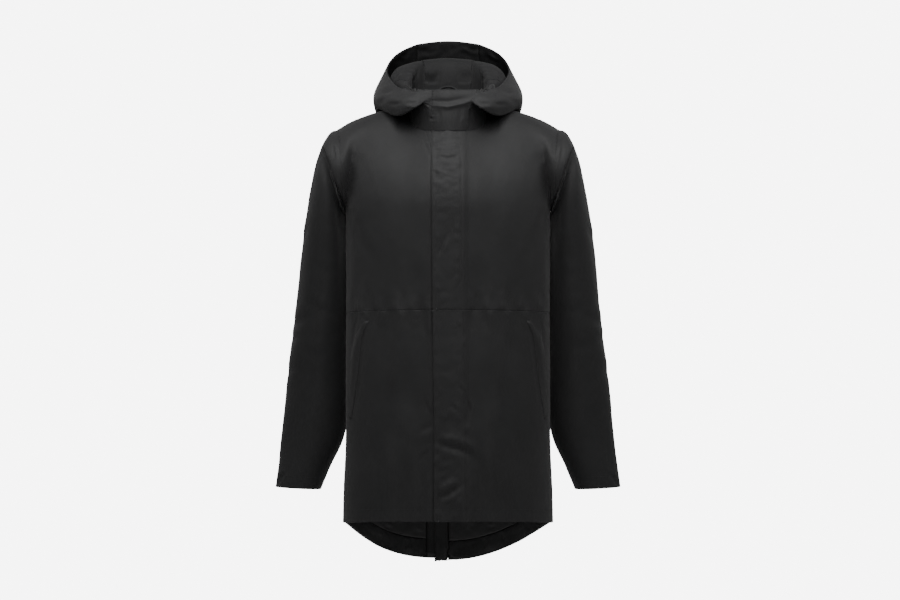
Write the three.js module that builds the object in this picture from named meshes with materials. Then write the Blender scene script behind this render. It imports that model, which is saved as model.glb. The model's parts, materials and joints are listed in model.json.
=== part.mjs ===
// A hip-length hooded coat, filled out as if worn, with its hood lying back and its front closed.
// X runs to the wearer's left, Y to the back and Z up.
// The origin lies between the shoulders at the base of the neck.
import * as THREE from "three";

// Driving dimensions, in millimetres
const shellCloth = 1.5;
const hoodCloth = 1.2;
const liningCloth = 1;
const seamGap = 0.3;
const layerGap = 0.6;
const insideGap = 1.1;
const neck = { halfWidth: 78, seamY: 8, frontY: -90, backY: 72, frontZ: -54, sideZ: 6, backZ: 0, frontDip: 2.2 };
const chestZ = -205;
const waist = { centreZ: -398.5, sideDrop: 5.5 };
const frontHem = { centreZ: -804.7, sideZ: -813 };
const backHem = {
  left: { centreZ: -897, rise: 84, power: 2 },
  right: { centreZ: -893, rise: 80, power: 2.85 },
};
const torsoExponent = 2.3;
const fly = { halfWidth: 31, liftOff: 39, lift: 3.2 };

// Where the soft folds fade out: shares of the half width, heights at the neck, and distances from the fly's middle
const foldFade = { sideFrom: 0.8, sideTo: 0.97, neckFrom: -110, neckTo: -62, overFly: [11, 64], underFly: [34, 60] };
const deepestFold = { fly: 0.96, front: 9 };
const shoulderTipX = 216;

// Outline of the body below the armholes
const torsoRows = [
  { z: -905, halfWidth: 206, front: 140, back: 142 },
  { z: -813, halfWidth: 205, front: 140, back: 141 },
  { z: -740, halfWidth: 203.5, front: 139.5, back: 140 },
  { z: -690, halfWidth: 201, front: 139, back: 139 },
  { z: -640, halfWidth: 199.5, front: 138, back: 138 },
  { z: -500, halfWidth: 199, front: 136, back: 135 },
  { z: -401, halfWidth: 198.5, front: 135, back: 132 },
  { z: -300, halfWidth: 199, front: 138, back: 133 },
  { z: -205, halfWidth: 200, front: 140, back: 135 },
];

const shoulderLine = [
  { x: 78, z: 6 },
  { x: 110, z: -3.5 },
  { x: 146, z: -15.6 },
  { x: 162, z: -21 },
  { x: 191, z: -33 },
  { x: 216, z: -48 },
];

// Handles of the curves that climb from the chest to the neck, the shoulder and the armhole
const frontHandles = [
  { column: 0, riseX: 0, riseY: 0, riseZ: 60, fallX: 0, fallY: -24, fallZ: -40 },
  { column: 3, riseX: 0, riseY: 0, riseZ: 70, fallX: 9, fallY: -38, fallZ: -34 },
  { column: 6, riseX: 0, riseY: 0, riseZ: 80, fallX: 34, fallY: -56, fallZ: -14 },
  { column: 9, riseX: 0, riseY: -2, riseZ: 85, fallX: 8, fallY: -78, fallZ: -6 },
  { column: 11, riseX: 1, riseY: -30, riseZ: 75, fallX: -4, fallY: -90, fallZ: -8 },
  { column: 12, riseX: 3, riseY: -70, riseZ: 50, fallX: -7, fallY: -97, fallZ: -10 },
  { column: 13, riseX: 6, riseY: -110, riseZ: 15, fallX: -10, fallY: -103, fallZ: -13 },
];
const backHandles = [
  { column: 0, riseX: 0, riseY: 0, riseZ: 80, fallX: 0, fallY: 40, fallZ: -30 },
  { column: 5, riseX: 0, riseY: 0, riseZ: 85, fallX: 34, fallY: 60, fallZ: -12 },
  { column: 8, riseX: 0, riseY: 4, riseZ: 90, fallX: 8, fallY: 84, fallZ: -6 },
  { column: 10, riseX: 0, riseY: 34, riseZ: 75, fallX: -4, fallY: 98, fallZ: -8 },
  { column: 11, riseX: 0, riseY: 72, riseZ: 45, fallX: -7, fallY: 106, fallZ: -10 },
  { column: 12, riseX: 0, riseY: 110, riseZ: 10, fallX: -10, fallY: 112, fallZ: -13 },
];
const neckColumns = { front: 6, back: 5 };
const shoulderColumns = 7;
const lastFront = neckColumns.front + shoulderColumns;
const lastBack = neckColumns.back + shoulderColumns;
const frontColumns = [0, 0.5, 1, 1.25, 2, 3, 4, 5, 6, 7, 8, 9, 10, 11, 12, 13];
const flyColumns = [-1, -0.5];
const flyNeckTurn = 24;
const yokeRows = 10;
const chestRows = 6;
const skirtRows = 10;

// Soft folds of the fronts and the back: a ridge between two ends, or a trough where the height is negative
const frontFolds = [
  { x: 55, z: -408, toX: 78, toZ: -560, width: 15, height: -3.5 },
  { x: 92, z: -408, toX: 104, toZ: -520, width: 14, height: 3 },
  { x: 128, z: -410, toX: 126, toZ: -500, width: 13, height: -2.5 },
  { x: 60, z: -330, toX: 64, toZ: -392, width: 13, height: -2.5 },
  { x: 96, z: -345, toX: 90, toZ: -392, width: 12, height: 2 },
  { x: 52, z: -640, toX: 110, toZ: -720, width: 24, height: 3 },
  { x: 40, z: -560, toX: 60, toZ: -690, width: 16, height: -3 },
  { x: 46, z: -70, toX: 110, toZ: -190, width: 26, height: -3 },
  { x: 120, z: -60, toX: 180, toZ: -180, width: 26, height: 2.5 },
];
const flyFolds = [
  { x: -24, z: -655, toX: 36, toZ: -680, width: 13, height: -4 },
  { x: -22, z: -770, toX: 30, toZ: -735, width: 12, height: -4.5 },
  { x: -14, z: -792, toX: 30, toZ: -752, width: 9, height: 3 },
  { x: -20, z: -292, toX: 2, toZ: -246, width: 10, height: -2.5 },
];
const backFolds = [
  { x: 60, z: -120, toX: 130, toZ: -260, width: 30, height: -4 },
  { x: 20, z: -300, toX: 30, toZ: -470, width: 22, height: 3.5 },
  { x: 80, z: -420, toX: 70, toZ: -640, width: 24, height: -4 },
  { x: 130, z: -300, toX: 118, toZ: -520, width: 22, height: 3.5 },
  { x: 150, z: -560, toX: 120, toZ: -790, width: 24, height: 4 },
  { x: 40, z: -640, toX: 48, toZ: -850, width: 22, height: 3.5 },
];

// Sleeve rings below the armhole, each in a plane through its outer and its inner point
const sleeveExponent = 2.2;
const sleeveRings = [
  { outerX: 231, outerZ: -55, innerX: 202, innerZ: -211, centreY: 6, halfDepth: 83, slant: 5 },
  { outerX: 245, outerZ: -79, innerX: 201.4, innerZ: -218, centreY: 7, halfDepth: 82, slant: 12 },
  { outerX: 249, outerZ: -90, innerX: 201, innerZ: -222, centreY: 10, halfDepth: 70, slant: 16 },
  { outerX: 258, outerZ: -115, innerX: 199.8, innerZ: -228, centreY: 16, halfDepth: 76, slant: 18 },
  { outerX: 267, outerZ: -158, innerX: 199.2, innerZ: -240, centreY: 25, halfDepth: 83, slant: 14 },
  { outerX: 276, outerZ: -205, innerX: 198.5, innerZ: -262, centreY: 34, halfDepth: 86, slant: 8 },
  { outerX: 283, outerZ: -250, innerX: 197.5, innerZ: -290, centreY: 40, halfDepth: 84, slant: 4 },
  { outerX: 289, outerZ: -302, innerX: 196.5, innerZ: -325, centreY: 45, halfDepth: 80, slant: 2 },
  { outerX: 296, outerZ: -372, innerX: 196, innerZ: -385, centreY: 51, halfDepth: 74, slant: 2 },
  { outerX: 304.5, outerZ: -444, innerX: 195.5, innerZ: -450, centreY: 57, halfDepth: 69, slant: 3 },
  { outerX: 313, outerZ: -514, innerX: 195, innerZ: -520, centreY: 62, halfDepth: 63, slant: 4 },
  { outerX: 321, outerZ: -583, innerX: 195.5, innerZ: -590, centreY: 65, halfDepth: 57, slant: 4 },
  { outerX: 329, outerZ: -654, innerX: 206, innerZ: -652, centreY: 66, halfDepth: 51, slant: 2 },
  { outerX: 334.5, outerZ: -704, innerX: 229.5, innerZ: -703, centreY: 65, halfDepth: 47, slant: 0 },
  { outerX: 339.5, outerZ: -747, innerX: 249.5, innerZ: -752, centreY: 64, halfDepth: 44, slant: 0 },
];
const ringSegments = 2 * yokeRows;
const longRingsFrom = 8;

// The hood sheet at stations round the neck, from the centre back (0) past the side (1) to the centre front (2)
const hoodStations = [
  { at: 0, lip: [0, 91, 90], over: [0, 120, 92], sink: [0, 122, 20], bottom: [0, 148, -72],
    belly: [0, 202, 12], edge: [0, 205, 139] },
  { at: 0.4, lip: [48, 80, 85], over: [53, 108, 88], sink: [58, 114, 18], bottom: [64, 140, -66],
    belly: [70, 188, 14], edge: [62, 190, 132] },
  { at: 0.8, lip: [69, 44, 70], over: [97, 76, 75], sink: [110, 84, 18], bottom: [124, 94, -38],
    belly: [140, 124, 16], edge: [108, 135, 104] },
  { at: 1.15, lip: [76, 8, 53], over: [106, 28, 58], sink: [119, 26, 20], bottom: [137, 14, -7],
    belly: [144, 32, 20], edge: [121, 58, 70] },
  { at: 1.45, lip: [74, -36, 31], over: [92, -28, 38], sink: [90, -40, 8], bottom: [98, -66, -25],
    belly: [123, -40, 8], edge: [108, -10, 45] },
  { at: 1.68, lip: [62, -66, 20], over: [72, -63, 25], sink: [74, -76, 9], bottom: [60, -92, -8],
    belly: [84, -84, 6], edge: [86, -50, 28] },
  { at: 1.79, lip: [42, -77, -18], over: [45, -77, -7], sink: [46, -80, -1], bottom: [47, -85, 2],
    belly: [53, -81, 13], edge: [58, -71, 27] },
  { at: 1.85, lip: [38, -80, -28], over: [40, -79.5, -16], sink: [41.5, -79.5, -6], bottom: [43, -80.5, 4],
    belly: [46, -78.5, 15], edge: [49, -74, 26] },
  { at: 2, lip: [0, -89.5, -32], over: [0, -88.5, -20], sink: [0, -87.5, -9], bottom: [0, -86.5, 2],
    belly: [0, -84, 14], edge: [0, -80, 26] },
];
const hoodSpans = [4, 3, 2, 3, 3, 4];
const flatFollows = 0.85;
const hoodSeamColumn = 2;

const hangerLoop = { halfWidth: 27, foot: 16, height: 26, tape: 3, standOff: 0.6, segments: 12 };
const weltRows = [
  { z: -610, x: 186, width: 5 },
  { z: -584, x: 182, width: 10 },
  { z: -552, x: 177, width: 14 },
  { z: -512, x: 171, width: 18 },
  { z: -472, x: 167, width: 18 },
  { z: -446, x: 162, width: 15 },
  { z: -420, x: 151, width: 7 },
];
const vent = { start: -1, flapTo: -28, facingTo: -44, gap: 0.4, top: -560, flapHem: -899, liningTop: -740 };
const hemFacingHeight = 38;
const lowestLining = 4;
const hemTurnUp = 0.8;
const liningColumns = { start: 0.02, least: 0.1 };
const liningReach = 10;
const weltColumns = 6;
const weltGap = 1.1;
const zipColumns = [0.6, 0, -0.5, -1.05];
const zipGap = 1;

// Materials
const cloth = (color, roughness) => new THREE.MeshStandardMaterial({ color, roughness, metalness: 0 });
const materials = {
  shell: cloth(0x232324, 0.62),
  lining: cloth(0x28282a, 0.5),
  facing: cloth(0x18181a, 0.42),
  tape: cloth(0x2c2c2e, 0.6),
};

// Small helpers
const vector = (x, y, z) => new THREE.Vector3(x, y, z);
const mirrored = (point, side) => vector(point.x * side, point.y, point.z);
const rounded = (value) => Math.sign(value) * Math.abs(value) ** (2 / torsoExponent);
const degrees = Math.PI / 180;
const sharpFold = 0.5;
const steps = (count) => Array.from({ length: count + 1 }, (_, index) => index / count);

// A smooth reading of one column of a table, between rows sorted by their key
function reading(table, key, at, column) {
  let row = 0;
  while (row < table.length - 2 && at > table[row + 1][key]) {
    row += 1;
  }
  const slope = (index) => {
    const before = table[Math.max(index - 1, 0)];
    const after = table[Math.min(index + 1, table.length - 1)];
    return (after[column] - before[column]) / (after[key] - before[key]);
  };
  const low = table[row];
  const high = table[row + 1];
  const length = high[key] - low[key];
  const t = THREE.MathUtils.clamp((at - low[key]) / length, 0, 1);
  const blend = t * t * (3 - 2 * t);
  const start = slope(row) * length * t * (1 - t) * (1 - t);
  const end = slope(row + 1) * length * t * t * (t - 1);
  return low[column] * (1 - blend) + high[column] * blend + start + end;
}

// The height of all soft folds of a table at one place, seen from the front or the back
function foldHeight(folds, x, z) {
  let total = 0;
  for (const fold of folds) {
    const along = new THREE.Vector2(fold.toX - fold.x, fold.toZ - fold.z);
    const place = new THREE.Vector2(x - fold.x, z - fold.z);
    const t = place.dot(along) / along.lengthSq();
    const nearest = along.clone().multiplyScalar(THREE.MathUtils.clamp(t, 0, 1));
    const distance = place.distanceTo(nearest);
    total += fold.height * Math.exp(-((distance / fold.width) ** 2));
  }
  return total;
}

// The body
function torsoPoint(angle, z, facing) {
  const halfWidth = reading(torsoRows, "z", z, "halfWidth");
  const depth = reading(torsoRows, "z", z, facing < 0 ? "front" : "back");
  return vector(halfWidth * rounded(Math.sin(angle)), facing * depth * rounded(Math.cos(angle)), z);
}

function neckTurn(column, facing) {
  if (facing > 0) {
    return (90 * degrees * column) / neckColumns.back;
  }
  if (column <= 1) {
    return flyNeckTurn * degrees * column;
  }
  return (flyNeckTurn + ((90 - flyNeckTurn) * (column - 1)) / (neckColumns.front - 1)) * degrees;
}

function neckPoint(column, facing) {
  const turn = neckTurn(column, facing);
  const reach = Math.cos(turn);
  if (facing > 0) {
    const backZ = neck.sideZ + (neck.backZ - neck.sideZ) * reach;
    return vector(neck.halfWidth * Math.sin(turn), neck.seamY + (neck.backY - neck.seamY) * reach, backZ);
  }
  const rise = (neck.sideZ - neck.frontZ) * (1 - reach) ** neck.frontDip;
  const y = neck.seamY + (neck.frontY - neck.seamY) * reach;
  return vector(neck.halfWidth * Math.sin(turn), y, neck.frontZ + rise);
}

function topPoint(column, facing) {
  const neckCount = facing < 0 ? neckColumns.front : neckColumns.back;
  if (column <= neckCount) {
    return neckPoint(column, facing);
  }
  const x = neck.halfWidth + ((shoulderTipX - neck.halfWidth) * (column - neckCount)) / shoulderColumns;
  return vector(x, neck.seamY, reading(shoulderLine, "x", x, "z"));
}

function yokePoint(column, t, facing) {
  const last = facing < 0 ? lastFront : lastBack;
  const handles = facing < 0 ? frontHandles : backHandles;
  const handle = (name) => reading(handles, "column", column, name);
  const low = torsoPoint((90 * degrees * column) / last, chestZ, facing);
  const high = topPoint(column, facing);
  const rise = vector(handle("riseX"), handle("riseY"), handle("riseZ")).add(low);
  const fall = vector(handle("fallX"), handle("fallY"), handle("fallZ")).add(high);
  return new THREE.CubicBezierCurve3(low, rise, fall, high).getPoint(t);
}

const waistZ = (x) => waist.centreZ - waist.sideDrop * (x / torsoRows[0].halfWidth) ** 2;

function hemZ(x, facing, side) {
  if (facing < 0) {
    const share = Math.abs(x / torsoRows[0].halfWidth) ** 4;
    return frontHem.centreZ + (frontHem.sideZ - frontHem.centreZ) * share;
  }
  const hem = side > 0 ? backHem.left : backHem.right;
  return hem.centreZ + hem.rise * Math.abs(x / torsoRows[1].halfWidth) ** hem.power;
}

// How far the fly stands out from the front it covers
function flyLift(x) {
  return fly.lift * (1 - THREE.MathUtils.smoothstep(x, fly.halfWidth, fly.liftOff));
}

// Folds fade out towards the side seams and towards the neck and the shoulders
function withFolds(point, facing, side, hasFly) {
  const half = reading(torsoRows, "z", Math.min(point.z, chestZ), "halfWidth");
  const share = Math.abs(point.x) / half;
  const sideFade = 1 - THREE.MathUtils.smoothstep(share, foldFade.sideFrom, foldFade.sideTo);
  const neckFade = 1 - THREE.MathUtils.smoothstep(point.z, foldFade.neckFrom, foldFade.neckTo);
  let height = foldHeight(facing < 0 ? frontFolds : backFolds, Math.abs(point.x), point.z) * sideFade * neckFade;
  if (hasFly) {
    const beside = THREE.MathUtils.smoothstep(point.x, ...foldFade.overFly);
    height = height * beside + foldHeight(flyFolds, point.x, point.z) * (1 - beside);
    height = Math.max(height, -THREE.MathUtils.lerp(deepestFold.fly, deepestFold.front, beside));
  } else if (facing < 0) {
    height *= THREE.MathUtils.smoothstep(point.x, ...foldFade.underFly);
  }
  const out = height + (hasFly ? flyLift(point.x) : 0);
  return vector(point.x * side, point.y + facing * out, point.z);
}

// Rows of outer points of a front or back, from a lower to an upper level
function bodyRows(facing, side, columns, from, to) {
  const last = facing < 0 ? lastFront : lastBack;
  const hasFly = facing < 0 && side > 0;
  const row = (locate) => columns.map((column) => {
    const point = locate(Math.abs(column));
    return withFolds(mirrored(point, column < 0 ? -1 : 1), facing, side, hasFly);
  });
  const rows = [];
  if (from === "hem") {
    for (const t of steps(skirtRows)) {
      rows.push(row((column) => {
        const angle = (90 * degrees * column) / last;
        const hem = hemZ(torsoPoint(angle, frontHem.sideZ, facing).x, facing, side);
        const top = waistZ(torsoPoint(angle, waist.centreZ, facing).x);
        return torsoPoint(angle, THREE.MathUtils.lerp(hem, top, t), facing);
      }));
    }
  }
  if (to === "top") {
    for (const t of steps(chestRows).slice(from === "hem" ? 1 : 0)) {
      rows.push(row((column) => {
        const angle = (90 * degrees * column) / last;
        const low = waistZ(torsoPoint(angle, waist.centreZ, facing).x);
        return torsoPoint(angle, THREE.MathUtils.lerp(low, chestZ, t), facing);
      }));
    }
    for (const t of steps(yokeRows).slice(1)) {
      rows.push(row((column) => yokePoint(column, t, facing)));
    }
  }
  return rows;
}

// The hood
const vectorAt = (name, at) => {
  const axis = (part) => {
    const rows = hoodStations.map((station) => ({ at: station.at, value: station[name][part] }));
    return reading(rows, "at", at, "value");
  };
  return vector(axis(0), axis(1), axis(2));
};

// The sheet at one column: up from the neck seam, over the lip, down into the bag and up again to the brim
function hoodColumn({ column, facing }, side) {
  const foot = neckPoint(Math.abs(column), facing);
  const at = facing > 0 ? Math.abs(column) / neckColumns.back : 2 - Math.abs(column) / neckColumns.front;
  const liesFlat = facing < 0 && column < (side > 0 ? 1 : 1.25);
  const names = ["lip", "over", "sink", "bottom", "belly", "edge"];
  const upper = names.map((name) => {
    if (!liesFlat) {
      return vectorAt(name, at);
    }
    const centre = vectorAt(name, 2);
    return vector(foot.x, centre.y + flatFollows * (foot.y - neck.frontY), centre.z);
  });
  const curve = new THREE.CatmullRomCurve3([foot, ...upper], false, "centripetal");
  const lift = facing < 0 && side > 0 ? flyLift(column < 0 ? 0 : foot.x) : 0;
  const mirror = column < 0 ? -side : side;
  const points = [];
  hoodSpans.forEach((count, span) => {
    for (const t of steps(count).slice(span === 0 ? 0 : 1)) {
      points.push(mirrored(curve.getPoint((span + t) / hoodSpans.length), mirror));
    }
  });
  return points.map((point) => vector(point.x, point.y - lift, point.z));
}

const transposed = (columns) => columns[0].map((_, row) => columns.map((column) => column[row]));
const backPart = (columns) => columns.map((column) => ({ column, facing: 1 }));
const frontPart = (columns) => columns.map((column) => ({ column, facing: -1 }));
const hoodSides = [...backPart([2, 3, 4, 5]), ...frontPart([5, 4, 3, 2, 1.25, 1, 0.5, 0])];
const liningSides = [...backPart([2, 3, 4, 5]), ...frontPart([5, 4])];
const hoodCentre = backPart([-2, -1, 0, 1, 2]);
const hoodRows = (columns, side) => transposed(columns.map((column) => hoodColumn(column, side)));

// The sleeves
function armhole(side) {
  const front = steps(yokeRows).map((t) => yokePoint(lastFront, 1 - t, -1));
  const back = steps(yokeRows).map((t) => yokePoint(lastBack, t, 1)).slice(1, -1);
  return [...front, ...back].map((point) => mirrored(point, side));
}

function sleeveRing(order, side) {
  const rings = sleeveRings.map((ring, index) => ({ ...ring, order: index }));
  const size = (name) => reading(rings, "order", order, name);
  const softened = (value) => Math.sign(value) * Math.abs(value) ** (2 / sleeveExponent);
  return Array.from({ length: ringSegments }, (_, index) => {
    const turn = (index / ringSegments) * 360 * degrees;
    const along = (1 + softened(Math.cos(turn))) / 2;
    const x = THREE.MathUtils.lerp(size("innerX"), size("outerX"), along);
    const z = THREE.MathUtils.lerp(size("innerZ"), size("outerZ"), along);
    const y = size("centreY") - size("halfDepth") * softened(Math.sin(turn)) - size("slant") * Math.cos(turn);
    return vector(x * side, y, z);
  });
}

function sleeveRows(side) {
  const rows = [armhole(side)];
  sleeveRings.forEach((_, order) => {
    if (order > longRingsFrom) {
      rows.push(sleeveRing(order - 0.5, side));
    }
    rows.push(sleeveRing(order, side));
  });
  return rows;
}

// Cloth walls: each piece is a grid of outer points, and its inner points lie one thickness behind them
function gridNormals(points, outward, closed) {
  const last = points.length - 1;
  return points.map((row, index) => row.map((_, column) => {
    const count = row.length;
    const before = closed ? (column + count - 1) % count : Math.max(column - 1, 0);
    const after = closed ? (column + 1) % count : Math.min(column + 1, count - 1);
    const across = row[after].clone().sub(row[before]);
    const up = points[Math.min(index + 1, last)][column].clone().sub(points[Math.max(index - 1, 0)][column]);
    return across.cross(up).normalize().multiplyScalar(outward);
  }));
}

function movedIn(piece, distance, columnCount) {
  return piece.points.map((row, index) => row.slice(0, columnCount).map((point, column) => (
    point.clone().addScaledVector(piece.normals[index][column], -distance)
  )));
}

const edgeKey = (point) => [point.x, point.y, point.z].map((value) => value.toFixed(2)).join(" ");

function isEdge(piece, row, column) {
  const count = piece.points[row].length;
  const atSide = !piece.closed && (column === 0 || column === count - 1);
  return row === 0 || row === piece.points.length - 1 || atSide;
}

// Where pieces meet, they share one normal, and each edge draws back by half the seam gap
function sharedNormals(pieces) {
  const sums = new Map();
  for (const piece of pieces) {
    piece.normals = gridNormals(piece.points, piece.outward, piece.closed);
    piece.points.forEach((row, index) => row.forEach((point, column) => {
      if (isEdge(piece, index, column)) {
        const key = edgeKey(point);
        const sum = sums.get(key) ?? vector(0, 0, 0);
        sums.set(key, sum.add(piece.normals[index][column]));
      }
    }));
  }
  for (const piece of pieces) {
    piece.points.forEach((row, index) => row.forEach((point, column) => {
      if (isEdge(piece, index, column)) {
        const shared = sums.get(edgeKey(point)).clone().normalize();
        const own = piece.normals[index][column];
        piece.normals[index][column] = shared.dot(own) > sharpFold ? shared : own;
      }
    }));
  }
}

function drawnBack(piece) {
  const { points, closed } = piece;
  const last = points.length - 1;
  return points.map((row, index) => row.map((point, column) => {
    const moved = point.clone();
    const towards = (neighbour) => {
      const step = neighbour.clone().sub(point);
      moved.addScaledVector(step.normalize(), seamGap / 2);
    };
    if (index === 0) {
      towards(points[1][column]);
    }
    if (index === last) {
      towards(points[last - 1][column]);
    }
    if (!closed && column === 0) {
      towards(row[1]);
    }
    if (!closed && column === row.length - 1) {
      towards(row[row.length - 2]);
    }
    return moved;
  }));
}

function wallGeometry(piece) {
  const outer = drawnBack(piece);
  const inner = outer.map((row, index) => row.map((point, column) => (
    point.clone().addScaledVector(piece.normals[index][column], -piece.thickness)
  )));
  const rowCount = outer.length;
  const columnCount = outer[0].length;
  const spans = piece.closed ? columnCount : columnCount - 1;
  const positions = [...outer.flat(), ...inner.flat()].flatMap((point) => point.toArray());
  const outerAt = (row, column) => row * columnCount + (column % columnCount);
  const innerAt = (row, column) => rowCount * columnCount + outerAt(row, column);
  const triangles = [];
  const quad = (a, b, c, d) => triangles.push(a, b, c, a, c, d);
  for (let row = 0; row < rowCount - 1; row += 1) {
    for (let column = 0; column < spans; column += 1) {
      const [next, above] = [column + 1, row + 1];
      quad(outerAt(row, column), outerAt(row, next), outerAt(above, next), outerAt(above, column));
      quad(innerAt(row, column), innerAt(above, column), innerAt(above, next), innerAt(row, next));
    }
  }
  for (let column = 0; column < spans; column += 1) {
    const top = rowCount - 1;
    quad(outerAt(0, column), innerAt(0, column), innerAt(0, column + 1), outerAt(0, column + 1));
    quad(outerAt(top, column), outerAt(top, column + 1), innerAt(top, column + 1), innerAt(top, column));
  }
  for (let row = 0; row < rowCount - 1 && !piece.closed; row += 1) {
    const side = columnCount - 1;
    quad(outerAt(row, 0), outerAt(row + 1, 0), innerAt(row + 1, 0), innerAt(row, 0));
    quad(outerAt(row, side), innerAt(row, side), innerAt(row + 1, side), outerAt(row + 1, side));
  }
  if (piece.outward < 0) {
    triangles.reverse();
  }
  const geometry = new THREE.BufferGeometry();
  geometry.setAttribute("position", new THREE.Float32BufferAttribute(positions, 3));
  geometry.setIndex(triangles);
  geometry.computeVertexNormals();
  return geometry;
}

// The pieces
const pieces = [];
function cut(name, points, material, thickness, outward, closed = false) {
  const normals = gridNormals(points, outward, closed);
  const piece = { name, points, normals, material, thickness, outward, closed };
  pieces.push(piece);
  return piece;
}

const sides = [
  { name: "left", side: 1 },
  { name: "right", side: -1 },
];

for (const { name, side } of sides) {
  const columns = side > 0 ? [...flyColumns, ...frontColumns] : frontColumns;
  const backColumns = steps(lastBack).map((share) => share * lastBack);
  cut(`front_upper_${name}`, bodyRows(-1, side, columns, "waist", "top"), materials.shell, shellCloth, side);
  cut(`front_lower_${name}`, bodyRows(-1, side, columns, "hem", "waist"), materials.shell, shellCloth, side);
  cut(`back_${name}`, bodyRows(1, side, backColumns, "hem", "top"), materials.shell, shellCloth, -side);
  cut(`sleeve_${name}`, sleeveRows(side), materials.shell, shellCloth, side, true);
}

const hoodLeft = [...hoodSides, ...frontPart(flyColumns.slice().reverse())];
const hoods = [
  { name: "centre", piece: cut("hood_centre", hoodRows(hoodCentre, 1), materials.shell, hoodCloth, -1) },
  { name: "left", piece: cut("hood_left", hoodRows(hoodLeft, 1), materials.shell, hoodCloth, -1) },
  { name: "right", piece: cut("hood_right", hoodRows(hoodSides, -1), materials.shell, hoodCloth, 1) },
];
sharedNormals(pieces);

// The inside of the hood lies on its panels: a lining up to the far wall, and a facing inside the brim
const facingFrom = hoodSpans.slice(0, -1).reduce((sum, count) => sum + count, 0);
for (const { name, piece } of hoods) {
  const columnCount = name === "centre" ? hoodCentre.length : liningSides.length;
  const inside = movedIn(piece, hoodCloth + layerGap, columnCount);
  cut(`hood_lining_${name}`, inside.slice(0, facingFrom + 1), materials.lining, liningCloth, piece.outward);
  cut(`hood_facing_${name}`, inside.slice(facingFrom), materials.facing, liningCloth, piece.outward);
}

// A place on a piece between its grid points, moved out along its normal
function onPiece(piece, column, row, distance) {
  const left = THREE.MathUtils.clamp(Math.floor(column), 0, piece.points[0].length - 2);
  const low = THREE.MathUtils.clamp(Math.floor(row), 0, piece.points.length - 2);
  const blend = (grid) => {
    const bottom = grid[low][left].clone().lerp(grid[low][left + 1], column - left);
    const top = grid[low + 1][left].clone().lerp(grid[low + 1][left + 1], column - left);
    return bottom.lerp(top, row - low);
  };
  return blend(piece.points).addScaledVector(blend(piece.normals).normalize(), distance);
}

const pieceNamed = (name) => pieces.find((piece) => piece.name === name);

// The column at a distance from the centre, and the row at a height, on a skirt that hangs from the waist seam
function skirtColumn(x, z, last) {
  const share = Math.min(x / reading(torsoRows, "z", z, "halfWidth"), 1);
  return (Math.asin(share ** (torsoExponent / 2)) / (90 * degrees)) * last;
}

function skirtRow(piece, column, z) {
  const hem = onPiece(piece, column, 0, 0).z;
  const top = onPiece(piece, column, skirtRows, 0).z;
  return ((z - hem) / (top - hem)) * skirtRows;
}

// The lower inside of the back: hem facing, lining, and the two strips of the slit
const innerLayer = -(shellCloth + insideGap);
const upperLayer = innerLayer - liningCloth - insideGap;
const slitColumn = (x) => skirtColumn(Math.abs(x), frontHem.sideZ, lastBack);

function hemBand(back, columns, low, high, count, distance) {
  return steps(count).map((share) => columns.map((column) => {
    const hem = onPiece(back, column, 0, 0).z;
    const z = THREE.MathUtils.lerp(low(hem), high(hem), share);
    return onPiece(back, column, skirtRow(back, column, z), distance);
  }));
}

const atHem = (hem) => hem + hemTurnUp;
const overFacing = (hem) => hem + hemFacingHeight;
const atLiningTop = (hem) => Math.max(vent.liningTop, hem + hemFacingHeight + lowestLining);

for (const { name, side } of sides) {
  const back = pieceNamed(`back_${name}`);
  const start = side > 0 ? liningColumns.start : slitColumn(vent.facingTo);
  const isInReach = (column) => column > start + liningColumns.least && column <= liningReach;
  const columns = [start, ...steps(lastBack).map((share) => share * lastBack).filter(isInReach)];
  const facing = hemBand(back, columns, atHem, overFacing, 2, innerLayer);
  const lining = hemBand(back, columns, overFacing, atLiningTop, 4, innerLayer);
  cut(`hem_facing_${name}`, facing, materials.facing, liningCloth, -side);
  cut(`back_lining_${name}`, lining, materials.lining, liningCloth, -side);
}

const backRight = pieceNamed("back_right");
const stripColumns = (to) => steps(2).map((share) => slitColumn(THREE.MathUtils.lerp(vent.start, to, share)));
const strip = (to, low, distance) => hemBand(backRight, stripColumns(to), low, () => vent.top, 8, distance);
cut("vent_facing", strip(vent.facingTo + vent.gap, atHem, innerLayer), materials.facing, liningCloth, 1);
cut("vent_flap", strip(vent.flapTo, () => vent.flapHem, upperLayer), materials.shell, shellCloth, 1);

// Pocket welts lie on the lower fronts
for (const { name, side } of sides) {
  const front = pieceNamed(`front_lower_${name}`);
  const skipped = front.points[0].length - 1 - lastFront;
  const welt = weltRows.map(({ z, x, width }) => steps(weltColumns).map((share) => {
    const column = skipped + skirtColumn(x + share * width, z, lastFront);
    return onPiece(front, column, skirtRow(front, column, z), weltGap + shellCloth);
  }));
  cut(`pocket_welt_${name}`, welt, materials.shell, shellCloth, side);
}

// The strip that holds the closed zip lies behind both front edges
const frontFace = bodyRows(-1, -1, zipColumns, "hem", "top").slice(2, -1);
const underlay = { points: frontFace, normals: gridNormals(frontFace, 1, false) };
const underlayPoints = movedIn(underlay, shellCloth + zipGap, zipColumns.length);
cut("zip_underlay", underlayPoints, materials.tape, liningCloth, 1);

// The hanger loop stands in front of the hood's lining
function liningFace(x, z) {
  const lining = pieceNamed("hood_lining_centre");
  const middle = (lining.points[0].length - 1) / 2;
  const column = middle * (1 + x / lining.points[0][lining.points[0].length - 1].x);
  let row = 0;
  while (onPiece(lining, column, row + 1, 0).z < z) {
    row += 1;
  }
  const low = onPiece(lining, column, row, -liningCloth);
  const high = onPiece(lining, column, row + 1, -liningCloth);
  return low.lerp(high, (z - low.z) / (high.z - low.z)).y;
}

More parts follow.
